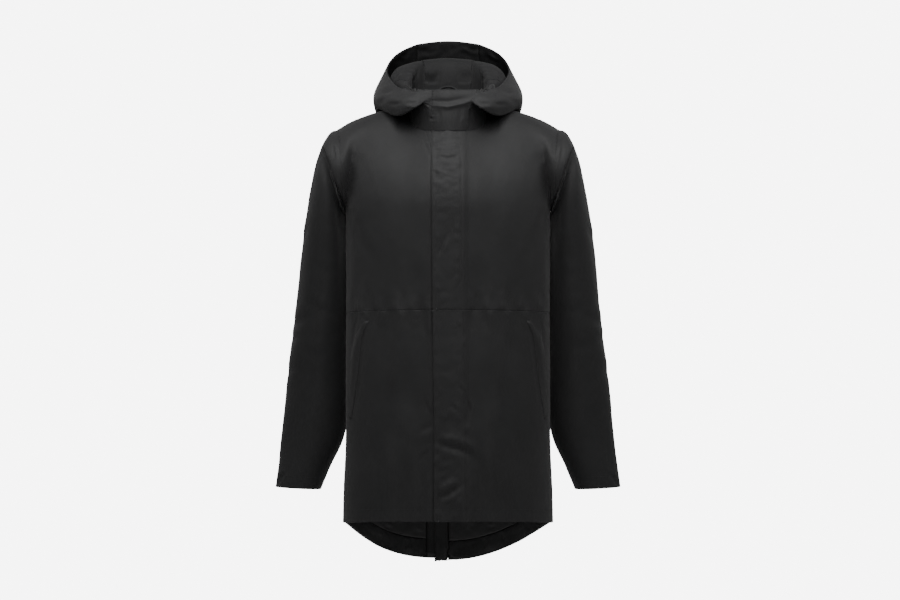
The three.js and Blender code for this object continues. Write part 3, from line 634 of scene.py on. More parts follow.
# folds of the body: x, z in millimetres as the front camera sees them
bodyCreases = [
    ([(0, -248), (-10, -271), (-20, -298)], 1.4, 3.5, 0.8, "tt"),
    ([(-23, -659), (4, -666), (25, -672), (37, -677), (45, -686), (47, -696)], 3.4, 7.5, 2.4, "tt"),
    ([(27, -739), (14, -749), (-6, -760), (-23, -770)], 3.0, 6.5, -2.4, "tt"),
    ([(-58, -640), (-43, -631), (-29, -624)], 1.2, 5.0, -0.8, "tt"),
    ([(-45, -49), (-40, -62), (-33, -78)], 1.2, 3.0, 0.6, "tt"),
    ([(-51, -60), (-43, -78), (-37, -96)], 0.9, 3.0, 0.5, "tt"),
    ([(-39, -84), (-35, -101), (-33, -119)], 0.8, 2.6, 0.4, "tt"),
    ([(-27, -88), (-4, -91), (21, -88)], 0.7, 2.8, 0.5, "tt"),
    ([(-25, -99), (0, -103), (23, -99)], 0.7, 2.8, 0.4, "tt"),
    ([(-27, -111), (-8, -115), (16, -113)], 0.6, 2.8, 0.4, "tt"),
    ([(-37, -515), (-29, -516)], 1.0, 2.0, 0.4, "tt"),
    ([(-23, -505), (-18, -506), (-12, -505)], 1.0, 2.0, 0.4, "tt"),
    ([(-170, -406), (-166, -411), (-160, -419)], 1.3, 3.0, 0.6, "tt"),
    ([(-148, -624), (-136, -712), (-131, -811)], 2.6, 15.0, 1.8, "tn"),
    ([(-90, -653), (-84, -731), (-86, -811)], 2.8, 13.0, 1.7, "tn"),
    ([(-55, -692), (-51, -751), (-53, -811)], 2.0, 9.0, 1.2, "tn"),
    ([(60, -653), (64, -741), (58, -811)], 2.6, 12.0, -1.7, "tn"),
    ([(101, -634), (107, -722), (113, -811)], 2.4, 14.0, -1.7, "tn"),
    ([(154, -624), (144, -712), (140, -811)], 2.4, 14.0, 1.5, "tn"),
    ([(-191, -216), (-176, -255), (-148, -306)], 1.3, 10.0, 0.8, "nt"),
    ([(191, -218), (176, -259), (152, -314)], 1.1, 11.0, -0.7, "nt"),
    ([(-168, -88), (-158, -156), (-156, -220)], 0.8, 13.0, 0.5, "tt"),
    ([(162, -84), (156, -154), (158, -228)], 0.8, 13.0, -0.5, "tt"),
    ([(-78, -88), (-84, -185), (-76, -283)], 0.7, 15.0, 0.5, "tt"),
    ([(82, -98), (90, -195), (80, -287)], 0.7, 15.0, 0.5, "tt"),
    ([(14, -423), (20, -430), (26, -434)], 1.3, 2.6, 0.8, "tt"),
    ([(17, -546), (26, -552), (33, -562)], 1.5, 2.8, 0.9, "tt"),
    ([(35, -571), (42, -586), (43, -605)], 1.5, 2.8, 0.9, "tt"),
    ([(-2, -583), (12, -588), (25, -599)], 1.4, 3.0, 0.8, "tt"),
    ([(-47, -566), (-42, -586), (-35, -605)], 1.2, 3.4, 0.7, "tt"),
    ([(-53, -692), (-46, -681), (-37, -673)], 1.2, 3.4, 0.7, "tt"),
    ([(29, -751), (12, -764), (-10, -780)], -1.5, 4.5, 0.4, "tt"),
    ([(25, -86), (25.5, -200), (25, -345)], 0.55, 1.8, 0.15, "nn"),
    ([(25, -345), (21, -354), (10, -358)], 0.6, 1.8, 0.2, "nt"),
    ([(31, -404), (33, -560), (35, -811)], 0.55, 1.8, 0.15, "nn"),
    ([(10, -199), (10, -296)], 0.3, 1.6, 0.1, "tt"),
    ([(-148, -416), (-161, -447), (-167, -492), (-174, -555), (-183, -612)], 0.5, 2.4, 0.1, "tt"),
    ([(149, -417), (161, -449), (168, -494), (175, -557), (183, -611)], 0.5, 2.4, -0.1, "tt"),
    ([(-160, -415), (-176, -462), (-190, -512)], -2.0, 5.0, 0.2, "tt"),
    ([(160, -417), (176, -464), (190, -510)], -1.9, 5.2, 0.2, "tt"),
    ([(-171, -455), (-182, -500), (-189, -560)], -1.6, 4.2, 0.2, "tt"),
    ([(171, -457), (182, -502), (189, -558)], -1.5, 4.4, 0.2, "tt"),
    ([(-177, -411), (-183, -440), (-186, -478)], 1.0, 3.0, 0.5, "tt"),
    ([(177, -413), (184, -443), (186, -476)], 1.0, 3.0, -0.5, "tt"),
]
# gathers that run up and down from the waist seam: x there, next point, last point, depth
gathersAbove = [
    (-185, (-184, -380), (-186, -365), 0.8), (-156, (-155, -374), (-157, -353), 1.1),
    (-121, (-120, -382), (-122, -369), 0.7),
    (-88, (-87, -376), (-89, -357), 1.0), (-55, (-53, -381), (-56, -367), 0.8),
    (55, (56, -378), (54, -361), 1.0),
    (86, (87, -383), (85, -370), 0.7), (119, (120, -375), (118, -355), 1.0),
    (154, (155, -381), (153, -367), 0.8),
    (181, (183, -378), (180, -361), 0.9),
]
gathersBelow = [
    (-176, (-176, -426), (-174, -449), 1.0), (-142, (-143, -419), (-141, -436), 0.8),
    (-109, (-110, -432), (-108, -461), 1.2),
    (-76, (-77, -420), (-75, -438), 0.8), (-47, (-48, -428), (-45, -453), 1.1),
    (45, (44, -426), (46, -449), 1.1),
    (72, (71, -419), (74, -436), 0.8), (103, (102, -434), (105, -465), 1.2),
    (138, (137, -422), (140, -442), 0.9),
    (174, (173, -427), (175, -451), 1.0),
]
bodyCreases += [([(x, -396), middle, end], depth, 6.0, 0.9, "nt") for x, middle, end, depth in gathersAbove]
bodyCreases += [([(x, -403), middle, end], depth, 6.5, 0.9, "nt") for x, middle, end, depth in gathersBelow]
# where the fasteners under the flap push it out: x, z, height, radius
studSwells = [
    (17, -240, 0.9, 5.0), (17, -259, 0.8, 5.0), (17, -298, 0.9, 5.5), (17, -318, 0.8, 5.0),
    (17, -337, 0.9, 5.0), (-19, -127, 0.8, 6.0), (-19, -152, 0.9, 6.0), (-19, -257, 0.8, 5.5),
    (-19, -328, 0.9, 6.0), (-19, -357, 0.8, 5.5),
    (14, -429, 0.9, 5.0), (31, -462, 0.8, 5.0), (-19, -507, 0.9, 5.0), (23, -515, 0.9, 5.5),
    (19, -552, 0.8, 5.0), (19, -593, 0.9, 5.5), (36, -630, 1.4, 7.0),
]
# the free edge of the flap: heights, where it hangs there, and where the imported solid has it
flyEdge = {"z": (-813, -634, -400, -60, 20), "x": (-26.3, -26.2, -29.6, -31.7, -31.7), "packed": -31.7}
# the front of the sleeves, as the front camera sees them
sleeveCreases = [
    ([(-244, -82), (-230, -119), (-224, -140), (-214, -162), (-205, -183), (-201, -201), (-200, -218)],
     7.0, 5.0, -1.0, "nns"),
    ([(243, -85), (229, -122), (223, -143), (214, -165), (204, -186), (200, -204), (199, -221)],
     6.6, 5.2, 1.0, "nns"),
    ([(-222, -68), (-219, -86), (-214, -113)], 1.5, 3.0, 0.7, "tt"),
    ([(221, -71), (218, -89), (213, -116)], 1.4, 3.2, -0.6, "tt"),
    ([(-254, -263), (-271, -439), (-279, -575), (-289, -634), (-294, -682)], 2.0, 13.0, 1.3, "tt"),
    ([(253, -266), (270, -442), (278, -578), (288, -637), (293, -685)], 1.8, 13.7, -1.2, "tt"),
    ([(-332, -739), (-324, -725), (-314, -712)], 1.4, 3.6, 0.8, "nt"),
    ([(331, -742), (323, -728), (313, -715)], 1.3, 3.8, -0.7, "nt"),
    ([(-283, -372), (-254, -398), (-224, -404)], 1.0, 9.0, 0.7, "tt"),
    ([(282, -375), (253, -401), (223, -407)], 0.9, 9.5, -0.6, "tt"),
    ([(-294, -470), (-265, -486), (-234, -480)], 0.9, 10.0, 0.6, "tt"),
    ([(293, -458), (264, -474), (233, -468)], 0.8, 10.5, -0.5, "tt"),
    ([(-265, -306), (-240, -322), (-216, -318)], 0.9, 8.0, 0.5, "tt"),
    ([(264, -316), (239, -332), (215, -328)], 0.8, 8.4, -0.5, "tt"),
]
# the front of the hood and the collar
hoodCreases = [
    ([(-60, 115), (-53, 109), (-43, 103)], 1.6, 4.0, 0.9, "tt"),
    ([(59, 114), (52, 108), (42, 102)], 1.5, 4.2, -0.8, "tt"),
    ([(-131, 23), (-117, 27), (-105, 33)], 2.2, 4.6, 1.3, "tt"),
    ([(130, 22), (116, 26), (104, 32)], 2.0, 4.8, -1.2, "tt"),
    ([(-121, 4), (-101, 2), (-86, 8)], 1.4, 4.5, 0.8, "tt"),
    ([(120, 3), (100, 1), (85, 7)], 1.3, 4.7, -0.7, "tt"),
    ([(-138, 0), (-125, 12), (-113, 16)], 1.0, 5.0, 0.6, "tt"),
    ([(137, -1), (124, 11), (112, 14)], 0.9, 5.2, -0.5, "tt"),
    ([(-47, 4), (-31, 8), (0, 7), (27, 12), (51, 18)], 1.8, 5.0, -1.4, "tt"),
    ([(23, -2), (25, -20), (21, -37)], 1.2, 3.0, 0.7, "tt"),
    ([(39, 0), (43, -18), (45, -37)], 1.1, 3.0, 0.6, "tt"),
    ([(-20, -6), (-16, -21), (-18, -37)], 0.7, 3.2, 0.4, "tt"),
    ([(-31, -2), (0, -4), (30, 3), (64, 16)], -1.7, 3.4, 0.3, "tt"),
    ([(-49, 96), (-49, 60), (-49, 26)], 1.3, 1.8, 0.3, "nn"),
    ([(51, 96), (51, 60), (51, 26)], 1.2, 1.8, 0.3, "nn"),
    ([(-61, 78), (-62, 54), (-61, 28)], 2.6, 2.4, 0.4, "tn"),
    ([(64, 78), (65, 54), (64, 28)], 2.5, 2.4, 0.4, "tn"),
    ([(-66, 60), (-69, 45), (-68, 29)], 5.0, 4.0, 0.8, "tn"),
    ([(69, 60), (72, 45), (71, 29)], 4.8, 4.0, 0.8, "tn"),
    ([(-60, 78), (-72, 56), (-82, 36), (-85, 25)], -3.2, 5.0, 0.4, "tn"),
    ([(63, 78), (75, 56), (85, 36), (88, 25)], -3.0, 5.0, 0.4, "tn"),
    ([(-92, 66), (-98, 54), (-94, 42)], 2.2, 3.0, 1.2, "tt"),
    ([(94, 66), (101, 54), (97, 42)], 2.1, 3.0, -1.2, "tt"),
    ([(-104, 66), (-101, 54), (-106, 44)], 1.6, 3.0, 0.9, "tt"),
    ([(106, 66), (104, 54), (108, 44)], 1.6, 3.0, 0.9, "tt"),
    ([(50, 4), (55, -12), (53, -30)], 1.1, 3.0, 0.6, "tt"),
    ([(-88, 6), (-83, -2), (-57, -4), (-46, 2)], -1.9, 2.4, 0.3, "tt"),
    ([(-84, 5), (-70, 4), (-56, 4)], 1.5, 2.6, 0.2, "tt"),
    ([(88, 5), (83, -3), (58, -4), (47, 1)], -1.7, 2.5, 0.3, "tt"),
    ([(84, 4), (70, 3), (57, 3)], 1.4, 2.6, 0.2, "tt"),
    ([(-140, -10), (-118, -15), (-92, -20), (-70, -14)], -1.3, 4.0, 0.5, "tt"),
    ([(139, -11), (117, -16), (91, -21), (70, -13)], -1.2, 4.0, 0.5, "tt"),
    ([(-36, -24), (-32, -27), (-28, -26)], 1.4, 3.0, 0.3, "tt"),
]
# short pulls at both sides of the panel behind the neck: from side to middle, x, z in millimetres
pullValues = {
    "from": 46.0, "heights": (67, 59, 52, 42, 35), "reach": (18, 27, 21, 30, 19), "sag": 1.3,
    "depth": 1.3, "width": 2.3, "ridge": 0.9,
}


def pullCrease(side, z, reach):
    x, v = pullValues["from"], pullValues
    path = [(side * x, z), (side * (x - 0.5 * reach), z - v["sag"]), (side * (x - reach), z)]
    return path, v["depth"], v["width"], -v["ridge"] * side, "nt"


panelPulls = [
    pullCrease(side, z, reach)
    for side in (-1, 1) for z, reach in zip(pullValues["heights"], pullValues["reach"])
]
# inside the hood's brim
brimCreases = [
    ([(-68, 111), (-53, 105), (-39, 106)], 2.4, 3.2, 1.3, "tt"),
    ([(-62, 97), (-51, 101), (-23, 103)], 1.8, 3.0, -1.0, "tt"),
    ([(-94, 92), (-80, 101), (-74, 111)], 2.2, 3.4, 1.2, "tt"),
    ([(-107, 84), (-96, 88), (-86, 84)], 2.0, 3.0, 1.0, "tt"),
    ([(-2, 119), (8, 109), (2, 99)], 1.5, 4.0, 0.9, "tt"),
    ([(35, 115), (45, 109), (66, 107)], 2.4, 3.2, -1.3, "tt"),
    ([(70, 96), (86, 88), (107, 82)], 2.2, 3.4, 1.2, "tt"),
    ([(82, 107), (96, 94), (111, 88)], 2.0, 3.0, -1.0, "tt"),
    ([(20, 98), (31, 103), (43, 96)], 1.8, 3.0, 1.0, "tt"),
]
# the inside of the back's lower edge
hemCreases = [
    ([(-124, -818), (-117, -823), (-108, -826)], 2.4, 2.6, 1.5, "tt"),
    ([(-62, -829), (-55, -833), (-46, -834)], 2.2, 2.6, 1.5, "tt"),
    ([(74, -819), (82, -823), (92, -822)], 2.2, 2.6, 1.5, "tt"),
    ([(-133, -840), (-132, -848), (-134, -856)], 1.7, 2.2, 1.0, "nt"),
    ([(-80, -850), (-79, -859), (-81, -868)], 1.7, 2.2, 1.0, "nt"),
    ([(-68, -848), (-69, -857), (-67, -866)], 1.4, 2.0, 0.8, "nt"),
    ([(23, -855), (24, -865), (22, -875)], 1.7, 2.2, 1.0, "nt"),
    ([(47, -855), (46, -864), (48, -872)], 1.4, 2.0, 0.8, "nt"),
    ([(72, -848), (73, -856), (71, -864)], 1.7, 2.2, 1.0, "nt"),
    ([(107, -837), (108, -845), (106, -853)], 1.5, 2.2, 1.0, "nt"),
]

# folds that the front view doesn't show: x, z in millimetres as seen from behind
backCreases = [
    ([(-128, -88), (-64, -116), (0, -124), (66, -114), (126, -84)], 1.5, 15.0, 1.0, "tt"),
    ([(-96, -150), (-30, -166), (44, -160)], 1.0, 14.0, 0.7, "tt"),
    ([(178, -212), (152, -276), (104, -338)], 1.8, 12.0, 1.2, "nt"),
    ([(-180, -216), (-150, -270), (-112, -326)], 1.6, 12.0, -1.1, "nt"),
    ([(188, -255), (168, -300), (150, -352)], 1.1, 9.0, 0.8, "tt"),
    ([(-150, -397), (-148, -372), (-151, -350)], 1.1, 8.0, 0.6, "nt"),
    ([(-104, -397), (-106, -366), (-102, -338)], 1.0, 8.5, 0.6, "nt"),
    ([(-58, -397), (-57, -374), (-60, -356)], 0.9, 8.0, 0.5, "nt"),
    ([(20, -397), (22, -368), (19, -342)], 1.0, 8.0, 0.5, "nt"),
    ([(70, -397), (68, -372), (71, -352)], 1.0, 8.5, 0.6, "nt"),
    ([(118, -397), (120, -362), (117, -334)], 1.1, 8.0, 0.6, "nt"),
    ([(-140, -402), (-143, -440), (-139, -478)], 1.2, 9.0, 0.7, "nt"),
    ([(-84, -402), (-82, -430), (-85, -456)], 1.0, 8.5, 0.6, "nt"),
    ([(-36, -402), (-38, -436), (-35, -470)], 1.0, 8.5, 0.6, "nt"),
    ([(44, -402), (46, -440), (43, -480)], 1.1, 8.5, 0.6, "nt"),
    ([(96, -402), (94, -428), (97, -452)], 1.0, 8.5, 0.6, "nt"),
    ([(146, -402), (149, -446), (145, -486)], 1.2, 9.0, 0.7, "nt"),
    ([(-146, -580), (-150, -690), (-147, -830)], 2.4, 20.0, 1.6, "tn"),
    ([(-88, -540), (-82, -680), (-86, -870)], 2.2, 18.0, 1.5, "tn"),
    ([(-34, -610), (-38, -740), (-35, -885)], 1.8, 16.0, 1.2, "tn"),
    ([(42, -560), (48, -700), (45, -885)], 2.2, 18.0, -1.5, "tn"),
    ([(98, -530), (92, -680), (96, -865)], 2.3, 19.0, -1.5, "tn"),
    ([(152, -600), (156, -700), (153, -825)], 2.0, 18.0, -1.4, "tn"),
]

# the outer side of a sleeve: y, z in millimetres as seen from beside it
sleeveSideCreases = [
    ([(-30, -235), (6, -262), (34, -270)], 1.4, 10.0, 0.9, "tt"),
    ([(-22, -405), (18, -428), (62, -426)], 1.7, 10.0, 1.1, "tt"),
    ([(-10, -446), (26, -458), (70, -450)], 1.3, 9.0, 0.9, "tt"),
    ([(0, -500), (34, -522), (80, -524)], 1.2, 11.0, 0.8, "tt"),
    ([(30, -120), (24, -200), (40, -300)], 1.3, 14.0, 0.9, "tt"),
    ([(62, -560), (66, -640), (72, -735)], 1.4, 12.0, 0.9, "tn"),
]

# levels: fine steps; edgeLoop: support row at the edges; draw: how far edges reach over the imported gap
# roll: how far the cloth turns in at its edge; pucker: gathers along a seam; drift: slow waves (millimetres)
shellValues = {"levels": 3, "edgeLoop": 2.5, "draw": 0.03, "cloth": "shellCloth", "roll": 0.62}
pieceValues = {
    "front_upper": {**shellValues, "pucker": 0.45, "drift": 0.9},
    "front_lower": {**shellValues, "pucker": 0.42, "drift": 1.1},
    "back": {**shellValues, "levels": 2, "draw": 0.22, "pucker": 0.42, "drift": 1.5},
    "sleeve": {**shellValues, "pucker": 0.50, "drift": 1.5},
    "hood": {**shellValues, "edgeLoop": 0, "draw": 0.05, "roll": 0.55, "pucker": 0.50, "drift": 1.1},
    "hood_lining": {"levels": 3, "edgeLoop": 0, "draw": 0.1, "cloth": "liningCloth"},
    # the brim's inside takes the near-black cloth of painted shade
    "hood_facing": {"levels": 3, "edgeLoop": 0, "draw": 0.17, "cloth": "brimCloth"},
    # the back's lining takes the lighter cloth of painted light
    "back_lining": {"levels": 3, "edgeLoop": 0, "draw": -0.3, "cloth": "backLiningCloth"},
    # the facings take the lighter cloth of painted light
    "hem_facing": {"levels": 3, "edgeLoop": 0, "draw": -0.3, "cloth": "facingCloth"},
    "vent_facing": {"levels": 2, "edgeLoop": 0, "draw": -0.3, "cloth": "facingCloth"},
    "vent_flap": {"levels": 3, "edgeLoop": 0, "draw": 0.0, "cloth": "facingCloth", "thickness": 0.0015},
    "pocket_welt": {"levels": 2, "edgeLoop": 0, "draw": 0.0, "cloth": "shellCloth", "thickness": 0.0008},
    "zip_underlay": {"levels": 1, "edgeLoop": 0, "draw": 0.0, "cloth": "wovenTape"},
    "hanger_loop": {"levels": 2, "edgeLoop": 0, "draw": 0.0, "cloth": "wovenTape"},
}

sleeveAxis = {"topZ": -0.12, "length": 0.62, "x": (0.235, 0.055), "y": (0.015, 0.05)}
hoodBag = np.array([0.0, 0.10, 0.0])  # a point inside the hood as it lies back
bodyShare = np.array([1, 1.6, 0])  # the body is wider than it is deep


def outwardFor(name):
    # a function that says which way is out at given places on a piece
    if name.startswith("sleeve"):
        side = 1 if name.endswith("left") else -1
        (x, spread), (y, sweep) = sleeveAxis["x"], sleeveAxis["y"]

        def fromAxis(centres):
            drop = np.clip((-centres[:, 2] + sleeveAxis["topZ"]) / sleeveAxis["length"], 0, 1)
            return centres - np.column_stack((side * (x + spread * drop), y + sweep * drop, centres[:, 2]))
        return fromAxis
    if name.startswith("hood"):
        return lambda centres: np.where(centres[:, 1:2] > hoodBag[1], centres - hoodBag, 0.0)
    return lambda centres: centres * bodyShare


def stemOf(name):
    for side in ("_left", "_right", "_centre"):
        if name.endswith(side):
            return name[: -len(side)]
    return name


def within(value, centre, full, none):
    # 1 closer to the centre than full, 0 further than none
    return smoothStep(-np.abs(value - centre), -none, -full)


# metres; two numbers: from none to full; three: a centre, and the distances from it of full and none
bandValues = {
    "sleeveTop": (-0.26, -0.20), "armholeSide": (0.15, 0.175), "armholeLow": (-0.24, -0.19),
    "neckHeight": (-0.035, 0.03, 0.06), "neckWidth": (0, 0.06, 0.08),
    "underarm": (-0.33, 0.12, 0.15), "underarmFrom": (0.186, 0.194), "underarmTo": (0, 0.207, 0.215),
    "pressHeight": (-0.33, 0.07, 0.12), "pressWidth": (0, 0.200, 0.206), "press": 0.0010,
    "gussetLow": (-0.262, -0.235), "gussetHigh": (0.204, 0.212), "gussetWidth": (0, 0.204, 0.212),
    "gusset": 0.0023,
    "inland": (0.002, 0.05), "waistEdge": (-0.412, -0.406),
}


def atArmhole(points, stem):
    # 1 where the sleeve is set in, 0 elsewhere
    if stem == "sleeve":
        return smoothStep(points[:, 2], *bandValues["sleeveTop"])
    if stem in ("front_upper", "back"):
        beside = smoothStep(np.abs(points[:, 0]), *bandValues["armholeSide"])
        return beside * smoothStep(points[:, 2], *bandValues["armholeLow"])
    return np.zeros(len(points))


def atNeck(points, stem):
    # 1 where the hood is sewn on
    if stem not in ("hood", "front_upper"):
        return np.zeros(len(points))
    return within(points[:, 2], *bandValues["neckHeight"]) * within(points[:, 0], *bandValues["neckWidth"])


flyValues = {
    # millimetres: height, distance from the free edge, width
    "edgeRoll": (0.5, 3.5, 3.0), "underEdge": (-1.1, -0.8, 1.9),
    "from": (-34, -24), "to": (-30, -20), "crumple": 1.45,
    "coarse": ((0.019, 0.019, 0.012), 4.4), "fine": ((0.009, 0.009, 0.008), 6.1),
    "top": (-190, -110), "bottom": (480, 560),  # heights between which the crumpling changes
}
foldValues = {
    "turned": (0.05, 0.35),  # how far cloth turns to the front or back before its folds show
    "sleeveSide": 0.235, "hoodFront": 0.06, "hoodInside": (0.105, 0.16),
    "waistPull": 0.9, "waistZ": -0.402, "waistReach": 0.022, "waistNoise": ((0.011, 0.05, 0.07), 9.9),
    "slow": ((0.075, 0.075, 0.17), 3.1), "middle": ((0.03, 0.03, 0.05), 8.7),
    "small": ((0.014, 0.014, 0.019), 12.4), "smallHeight": 0.22,
    "gathers": ((0.0042, 0.0042, 0.0042), 1.3), "gatherReach": 7.5, "gatherFrom": 2.0, "rollWidth": 0.9,
}


def flyHeight(wall, points, view):
    # the free edge of the flap, the fasteners under it and the crumpled cloth on it
    fly = flyValues
    fromEdge = view[:, 0] - np.interp(view[:, 1], flyEdge["z"], flyEdge["x"])
    onLeft = wall.name.endswith("left")
    rise, centre, width = fly["edgeRoll"] if onLeft else fly["underEdge"]
    height = rise * np.exp(-(((fromEdge - centre) / width) ** 2))
    if onLeft:
        height += swellHeight(view, studSwells)
    onFly = smoothStep(view[:, 0], *fly["from"]) * smoothStep(-view[:, 0], *fly["to"])
    high = 0.35 + 0.65 * smoothStep(view[:, 1], *fly["top"]) + 0.35 * smoothStep(-view[:, 1], *fly["bottom"])
    crumple = softNoise(points, *fly["coarse"]) + 0.6 * softNoise(points, *fly["fine"])
    return height + fly["crumple"] * onFly * high * crumple


def placedFolds(wall, stem, points, normals):
    # the listed creases, on the side of the piece where they belong
    fold, view = foldValues, seen(points)
    towardFront = smoothStep(-normals[:, 1], *fold["turned"])
    towardBack = smoothStep(normals[:, 1], *fold["turned"])
    if stem == "back":
        return towardBack * creaseHeight(points[:, (0, 2)] * 1000, backCreases)
    if stem == "sleeve":
        outwardSide = smoothStep(np.abs(points[:, 0]) - fold["sleeveSide"], 0, 0.03)
        aside = outwardSide * creaseHeight(points[:, (1, 2)] * 1000, sleeveSideCreases)
        return towardFront * creaseHeight(view, sleeveCreases) + aside
    if stem == "hood":
        creased, depth = creaseHeight(view, hoodCreases), points[:, 1]
        shownInside = (depth < fold["hoodInside"][0]) | (depth > fold["hoodInside"][1])
        # the lining in front of the inner side follows it
        return towardFront * (depth < fold["hoodFront"]) * creased - towardBack * shownInside * creased
    waistPull = np.exp(-np.abs(points[:, 2] - fold["waistZ"]) / fold["waistReach"])
    pulled = fold["waistPull"] * waistPull * softNoise(points, *fold["waistNoise"])
    return towardFront * (creaseHeight(view, bodyCreases) + flyHeight(wall, points, view)) + pulled


def foldHeights(wall, stem):
    # millimetres outward at each outer point
    ids, values, fold = wall.outerIds, wall.values, foldValues
    points = wall.points[ids]
    height = placedFolds(wall, stem, points, wall.normals[ids])
    inland = smoothStep(wall.edgeDistance[ids], *bandValues["inland"])
    height += values["drift"] * (0.4 + 0.6 * inland) * softNoise(points, *fold["slow"])
    height += 0.5 * values["drift"] * inland * softNoise(points, *fold["middle"])
    height += fold["smallHeight"] * inland * softNoise(points, *fold["small"])
    edge = wall.edgeDistance[ids] * 1000
    gathers = softNoise(wall.edgeAt[ids], *fold["gathers"])
    strength = values["pucker"] * (1 + 1.3 * atArmhole(points, stem) + 0.9 * atNeck(points, stem))
    nearEdge = np.exp(-edge / fold["gatherReach"]) * smoothStep(edge, 0, fold["gatherFrom"])
    height += strength * gathers * nearEdge
    faceUp = atNeck(points, stem)  # a roll that faces up would catch the light
    if stem == "front_lower":
        faceUp = smoothStep(points[:, 2], *bandValues["waistEdge"])
    height -= values["roll"] * (1 - 0.85 * faceUp) * np.exp(-((edge / fold["rollWidth"]) ** 2))
    if stem in ("sleeve", "front_upper", "back"):  # cloth pressed together under the arm lies smooth
        beside = smoothStep(np.abs(points[:, 0]), *bandValues["underarmFrom"])
        beside = beside * within(points[:, 0], *bandValues["underarmTo"])
        height *= 1 - 0.9 * within(points[:, 2], *bandValues["underarm"]) * beside
    return height


def storeWall(wall, rub, objectName):
    mesh = wall.mesh
    mesh.vertices.foreach_set("co", wall.points.ravel())
    # edge wear, plus a painted highlight on fold crests
    rubbed = mesh.attributes.new("rubbed", "FLOAT", "POINT")
    rubbed.data.foreach_set("value", np.clip(rub, 0, 1).astype(np.float32))
    mesh.materials.clear()
    mesh.materials.append(cloths[wall.values["cloth"]])
    inside = np.zeros(len(mesh.polygons), dtype=np.int32)
    if stemOf(wall.name) == "hood":  # it shows its lined side
        mesh.materials.append(cloths["liningCloth"])
        inside[wall.kinds == innerFace] = 1
    mesh.polygons.foreach_set("material_index", inside)
    mesh.set_sharp_from_angle(angle=math.radians(wallValues["rimAngle"]))
    mesh.name = objectName
    mesh.update()
    piece = bpy.data.objects.new(objectName, mesh)
    bpy.context.scene.collection.objects.link(piece)
    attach(piece, "root")
    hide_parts(wall.name)


carriers = {}  # finished walls, by node
# rubbed edges take the lighter colour as wear; fold crests that stand out take it as a painted highlight
wearAndCrestValues = {"edgeWidth": 1.4, "edge": 0.22, "crestLightFrom": 0.4, "ridge": 0.10}  # millimetres and shares


def moveWall(wall, stem):
    outerHeight = foldHeights(wall, stem) / 1000
    shift, height = np.zeros_like(wall.points), np.zeros(len(wall.points))
    shift[wall.outerIds] = outerHeight[:, None] * wall.normals[wall.outerIds]
    height[wall.outerIds] = outerHeight
    onOuter = np.zeros(len(wall.points), dtype=bool)
    onOuter[wall.outerIds] = True
    wall.tree = treeOf(wall.points, wall.outerIds)
    for vertex in np.where(~onOuter)[0]:
        nearest = wall.tree.find(wall.points[vertex])[1]
        shift[vertex] = shift[nearest]
    wall.shift, wall.before = shift, wall.points.copy()
    wall.points = wall.points + shift
    edge = np.exp(-((wall.edgeDistance * 1000 / wearAndCrestValues["edgeWidth"]) ** 2)) * wearAndCrestValues["edge"]
    # painted highlight: the higher a fold's crest stands, the lighter its colour
    ridge = np.clip(height * 1000 - wearAndCrestValues["crestLightFrom"], 0, 2) * wearAndCrestValues["ridge"]
    return np.where(onOuter, edge + ridge, 0)


def leadEdges(wall):
    # the flap's free edge wanders, and the underarm lies against the body
    if wall.name in ("front_upper_left", "front_lower_left"):
        view = seen(wall.points)
        drift = np.interp(view[:, 1], flyEdge["z"], flyEdge["x"]) - flyEdge["packed"]
        wall.points[:, 0] += drift / 1000 * smoothStep(-view[:, 0], 0, 29)
    if wall.name.startswith("sleeve"):
        band, side, height = bandValues, np.sign(wall.points[:, 0]), wall.points[:, 2]
        inner = within(wall.points[:, 0], *band["pressWidth"]) * within(height, *band["pressHeight"])
        wall.points[:, 0] -= side * band["press"] * inner
        low = smoothStep(height, *band["gussetLow"]) * smoothStep(-height, *band["gussetHigh"])
        wall.points[:, 0] -= side * band["gusset"] * low * within(wall.points[:, 0], *band["gussetWidth"])


def makeShell(name):
    stem = stemOf(name)
    wall = smoothWall(name, pieceValues[stem])
    closeSeams(wall, wall.values["draw"] / 1000)
    readWall(wall, outwardFor(name))
    leadEdges(wall)
    storeWall(wall, moveWall(wall, stem), name + "Cloth")
    carriers[name] = wall
    print("shell piece", name, len(wall.quads) * 2, "triangles")


for shellName in (
    "front_upper_left", "front_upper_right", "front_lower_left", "front_lower_right",
    "back_left", "back_right", "sleeve_left", "sleeve_right", "hood_centre", "hood_left", "hood_right",
):
    makeShell(shellName)

# a carried piece lies on one of these walls and follows its folds; metres
carriedValues = {
    "samples": 60,  # points that tell which side of its carrier a piece lies on
    "neighbours": 5, "evenOut": 0.0005,
    "thickness": 0.001, "gap": 0.00035, "endGap": 0.0001,
    "settle": 0.0012, "settleFrom": 0.004, "runOut": 0.014,
    "coarse": ((0.014, 0.014, 0.020), 5.5), "fine": ((0.006, 0.006, 0.008), 2.2),
    "creaseLift": 0.6,  # millimetres that keep the deepest crease clear of the carrier
}
weltEdge = {
    "z": (-0.610, -0.584, -0.552, -0.512, -0.472, -0.446, -0.420),
    "x": (0.186, 0.182, 0.177, 0.171, 0.167, 0.162, 0.151),
    "width": 0.018, "low": 0.45, "rise": 0.75, "thin": 0.6, "thinWithin": 0.0010,
}


def wallSurface(wall, kind, points):
    chosen = wall.quads[wall.kinds == kind]
    return BVHTree.FromPolygons([Vector(p) for p in points], [tuple(int(v) for v in q) for q in chosen])


def nearestOn(surfaces, point):
    return min((surface.find_nearest(point) for surface in surfaces), key=lambda found: found[3])


